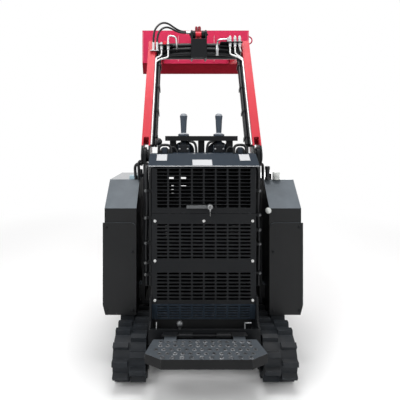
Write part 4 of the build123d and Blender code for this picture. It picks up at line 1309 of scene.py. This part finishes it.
@dataclass
class StandingStep(Assembly):
    """The step's grip rings, painted shade in its holes, and hinge pads."""

    pitch: float = 0.036
    top: float = 0.250
    edges: tuple = ((-0.943, 0.240), (-1.040, 0.270), (-1.070, 0.205))
    edge_row: float = -1.0798
    edge_pitch: float = 0.0446

    def _half_width(self, along: float) -> float:
        """Return the step's usable half width at a place along it.

        Args:
            along: Place along the machine.

        Returns:
            Half of the width between the side edges.
        """
        front, wide, rear = self.edges
        if along > wide[0]:
            share = (along - wide[0]) / (front[0] - wide[0])
            return wide[1] + share * (front[1] - wide[1])
        share = (along - rear[0]) / (wide[0] - rear[0])
        return rear[1] + share * (wide[1] - rear[1])

    def build(self) -> None:
        """Build the rings, the painted shade in the holes and the pads."""
        rings = Bench("tread_rings")
        hole_shade = Bench("tread_hole_shade")
        ring = ((0.0, 0.0115), (0.0024, 0.0085), (0.0028, 0.0070), (0.0024, 0.0056), (0.0004, 0.0048))
        row = 0
        along = self.edges[0][0] - 0.012
        while along > self.edges[2][0] + 0.006:
            reach = self._half_width(along) - 0.012
            count = int(2 * reach / self.pitch)
            start = -count * self.pitch / 2 + (self.pitch / 2 if row % 2 else 0.0)
            for step in range(count + 1):
                across = start + step * self.pitch
                if abs(across) <= reach:
                    rings.turned((across, along, self.top), (0, 0, 1), ring, 14)
                    # A thin black disc in each ring: painted shade where the hole is.
                    hole_shade.turned((across, along, self.top), (0, 0, 1),
                                 ((0.0, 0.0047), (0.0009, 0.0047)), 14)
            along -= self.pitch * 0.866
            row += 1
        edge_count = int(2 * self.edges[2][1] / self.edge_pitch)
        for step in range(edge_count + 1):
            across = (step - edge_count / 2) * self.edge_pitch
            rings.turned((across, self.edge_row, self.top), (0, 0, 1),
                         ((0.0, 0.0125), (0.0030, 0.0115), (0.0040, 0.0095), (0.0030, 0.0080),
                          (0.0006, 0.0074)), 20)
        pads = Bench("hinge_pads")
        for side in (-1, 1):
            low, high = sorted((side * 0.134, side * 0.208))
            pads.block((low, -0.944, 0.2712), (high, -0.9085, 0.2732), 0.0006)
        pads.finished(self.shop, "hose_rubber", "step")
        rings.finished(self.shop, "worn_tread", "step")
        hole_shade.finished(self.shop, "hose_rubber", "step")


@dataclass
class BucketTrim(Assembly):
    """Weld seams on the bucket's back."""

    back: float = 0.613
    plate_face: float = 0.598
    seams: tuple[float, ...] = (-0.160, 0.171)
    seam_low: float = 1.950
    seam_high: float = 2.225
    plate_top: float = 2.186
    side_seam: float = 0.488
    steps: int = 46

    def build(self) -> None:
        """Build the seams."""
        bench = Bench("bucket_seams")
        runs = [(across, self.plate_face, self.plate_top, 0.0045) for across in self.seams]
        runs += [(across, self.back, self.seam_high, 0.003) for across in (-self.side_seam, self.side_seam)]
        for across, row, top, radius in runs:
            rise = (top - self.seam_low) / self.steps
            bench.bead([(across, row, self.seam_low + rise * step) for step in range(self.steps + 1)], radius)
        # The beads take a lighter copy of the red paint: a painted highlight.
        bench.finished(self.shop, "lit_bead_paint", "bucket_tool")


@dataclass
class ArmTrim(Assembly):
    """Weld rings and pin caps of the lift arms."""

    tube_centre: tuple[float, float] = (-0.105, 1.872)
    tube_radius: float = 0.057
    arm_inner: float = 0.305
    arm_outer: float = 0.357
    hinge: tuple[float, float] = (0.513, 1.950)

    def build(self) -> None:
        """Build the trim."""
        welds = Bench("arm_welds")
        turns = 40
        for side in (-1, 1):
            ring = []
            for step in range(turns + 1):
                angle = 2 * math.pi * step / turns
                ring.append((side * (self.arm_inner - 0.001),
                             self.tube_centre[0] + self.tube_radius * math.cos(angle),
                             self.tube_centre[1] + self.tube_radius * math.sin(angle)))
            welds.bead(ring, 0.0038)
        welds.finished(self.shop, "red_paint", "arms")
        pins = Bench("hinge_pin_caps")
        for side in (-1, 1):
            face = side * self.arm_outer
            pins.turned((face, self.hinge[0], self.hinge[1]), (side, 0, 0),
                        ((0.0, 0.024), (0.0028, 0.024), (0.0034, 0.0225)), 32)
            for offset in (-0.0364, 0.0364):
                pins.bolt((face, self.hinge[0] + offset, self.hinge[1]), (side, 0, 0), 0.0045, 0.0060)
        pins.finished(self.shop, "zinc_steel", "arms")


@dataclass
class SideGear(Assembly):
    """Caps, elbows, hoses and bolts between the arms, tanks and panels."""

    flank_clamps: dict = field(default_factory=lambda: {
        -1: (0.950, 0.800, 0.660, 0.550, 0.485),
        1: (0.950, 0.8165, 0.733, 0.655, 0.494),
    })

    def _right_caps(self) -> None:
        """Add the caps and fittings on top of the right tank."""
        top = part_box("tank_right")[1].z
        clear = Bench("reservoir_cap")
        clear.turned((0.437, -0.600, top), (0, 0, 1),
                     ((0.0, 0.020), (0.003, 0.022), (0.040, 0.022), (0.044, 0.0195), (0.046, 0.012)), 36)
        clear.finished(self.shop, "clear_plastic", "root")
        dark = Bench("tank_fittings")
        dark.turned((0.384, -0.610, top), (0, 0, 1),
                    ((0.0, 0.015), (0.014, 0.015), (0.016, 0.012), (0.058, 0.012), (0.060, 0.0145),
                     (0.076, 0.0145), (0.080, 0.011)), 28)
        dark.turned((0.405, -0.585, top), (0, 0, 1), ((0.0, 0.009), (0.030, 0.009), (0.034, 0.006)), 24)
        dark.turned((-0.372, -0.470, top), (0, 0, 1),
                    ((0.0, 0.013), (0.020, 0.013), (0.022, 0.010), (0.045, 0.010), (0.050, 0.007)), 24)
        dark.finished(self.shop, "hose_rubber", "root")

    def _elbows(self) -> None:
        """Add the moulded elbows beside the towers."""
        routes = (
            ((-0.368, -0.604, 1.000), (-0.368, -0.604, 1.050), (-0.372, -0.603, 1.096),
             (-0.360, -0.600, 1.112), (-0.3475, -0.597, 1.104)),
            ((-0.388, -0.590, 1.000), (-0.392, -0.590, 1.040), (-0.394, -0.590, 1.078),
             (-0.376, -0.590, 1.096), (-0.3475, -0.589, 1.086)),
            ((0.368, -0.560, 1.000), (0.368, -0.560, 1.040), (0.368, -0.560, 1.082), (0.358, -0.562, 1.090),
             (0.3475, -0.566, 1.084)),
        )
        self.pipes("tower_elbows", routes, 0.0085, "hose_rubber", "root")

    def _flank_hoses(self) -> None:
        """Run the drive hoses down the rear frame's flanks, in clamps."""
        routes = []
        clamps = Bench("flank_clamps")
        heads = Bench("flank_bolts")
        for side in (-1, 1):
            for across, row, crook in ((0.2905, -0.700, 0.0), (0.3140, -0.694, 0.004)):
                x = side * across
                routes.append(((x, row, 0.421), (x, row, 0.520), (x + side * crook, row, 0.640),
                               (x, row, 0.780), (x - side * crook, row, 0.900), (x, row, 1.000),
                               (x, row, 1.058), (x, row + 0.014, 1.080),
                               (x + side * 0.004, row + 0.050, 1.086), (side * 0.3260, -0.596, 1.088)))
            for height in self.flank_clamps[side]:
                low = sorted((side * 0.2722, side * 0.3290))
                clamps.block((low[0], -0.716, height - 0.008), (low[1], -0.682, height + 0.008), 0.002)
                heads.bolt((side * 0.3165, -0.716, height), (0, -1, 0), 0.0060, 0.0080)
        self.pipes("flank_hoses", routes, 0.0112, "hose_rubber", "root")
        clamps.finished(self.shop, "black_paint", "root")
        heads.finished(self.shop, "dull_steel", "root")

    def _tank_knob(self) -> None:
        """Add the pale dome on the right tank's rear face."""
        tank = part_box("tank_right")[0]
        dome = Bench("tank_dome")
        dome.turned((tank.x + 0.0165, tank.y, 0.846), (0, -1, 0),
                    ((-0.002, 0.0165), (0.004, 0.0165), (0.009, 0.0150), (0.014, 0.0110), (0.017, 0.0060),
                     (0.018, 0.0020)), 32)
        dome.finished(self.shop, "clear_plastic", "root")

    def _heel_gear(self) -> None:
        """Add the knob and the spring clips on the heel plate behind the step."""
        knob = Bench("heel_knob")
        knob.turned((-0.124, -0.899, 0.283), (0, 0, 1),
                    ((0.0, 0.006), (0.010, 0.006), (0.013, 0.011), (0.019, 0.0155), (0.027, 0.0170),
                     (0.035, 0.0150), (0.041, 0.0090), (0.043, 0.0030)), 28)
        knob.finished(self.shop, "dull_steel", "root")
        clips = Bench("heel_clips")
        clips.turned((-0.2417, -0.9005, 0.283), (0, 0, 1),
                     ((0.0, 0.0022), (0.034, 0.0022), (0.036, 0.0010)), 10)
        clips.block((0.200, -0.9030, 0.283), (0.206, -0.8985, 0.318), 0.001)
        clips.block((0.200, -0.9030, 0.312), (0.236, -0.8985, 0.318), 0.001)
        clips.finished(self.shop, "zinc_steel", "root")

    def _cover_bolts(self) -> None:
        """Add the bolts of the tanks' rear covers."""
        bench = Bench("cover_bolts")
        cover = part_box("tank_cover_right")
        face = cover[0].y
        for side in (-1, 1):
            for across, height in ((0.385, 0.300), (0.529, 0.300), (0.385, 0.620), (0.529, 0.755)):
                bench.bolt((side * across, face, height), (0, -1, 0), 0.0058, 0.0085)
        bench.finished(self.shop, "black_paint", "root")

    def build(self) -> None:
        """Build everything beside the towers and tanks."""
        self._right_caps()
        self._elbows()
        self._flank_hoses()
        self._tank_knob()
        self._heel_gear()
        self._cover_bolts()


def main() -> None:
    """Build every assembly in order."""
    logging.basicConfig(level=logging.INFO, format="%(message)s")
    shop = FinishShop(ShaderGroups())
    Studio().build()
    PackedPieces(shop).build()
    for assembly in (TiltHoses, RearPanels, ConsoleGear, CrossmemberPlumbing, TiltCylinderTrim, EngineBay,
                     StandingStep, BucketTrim, ArmTrim, SideGear):
        assembly(shop).build()
        log.info("%s is dressed", assembly.__name__)


if __name__ == "__main__":
    main()
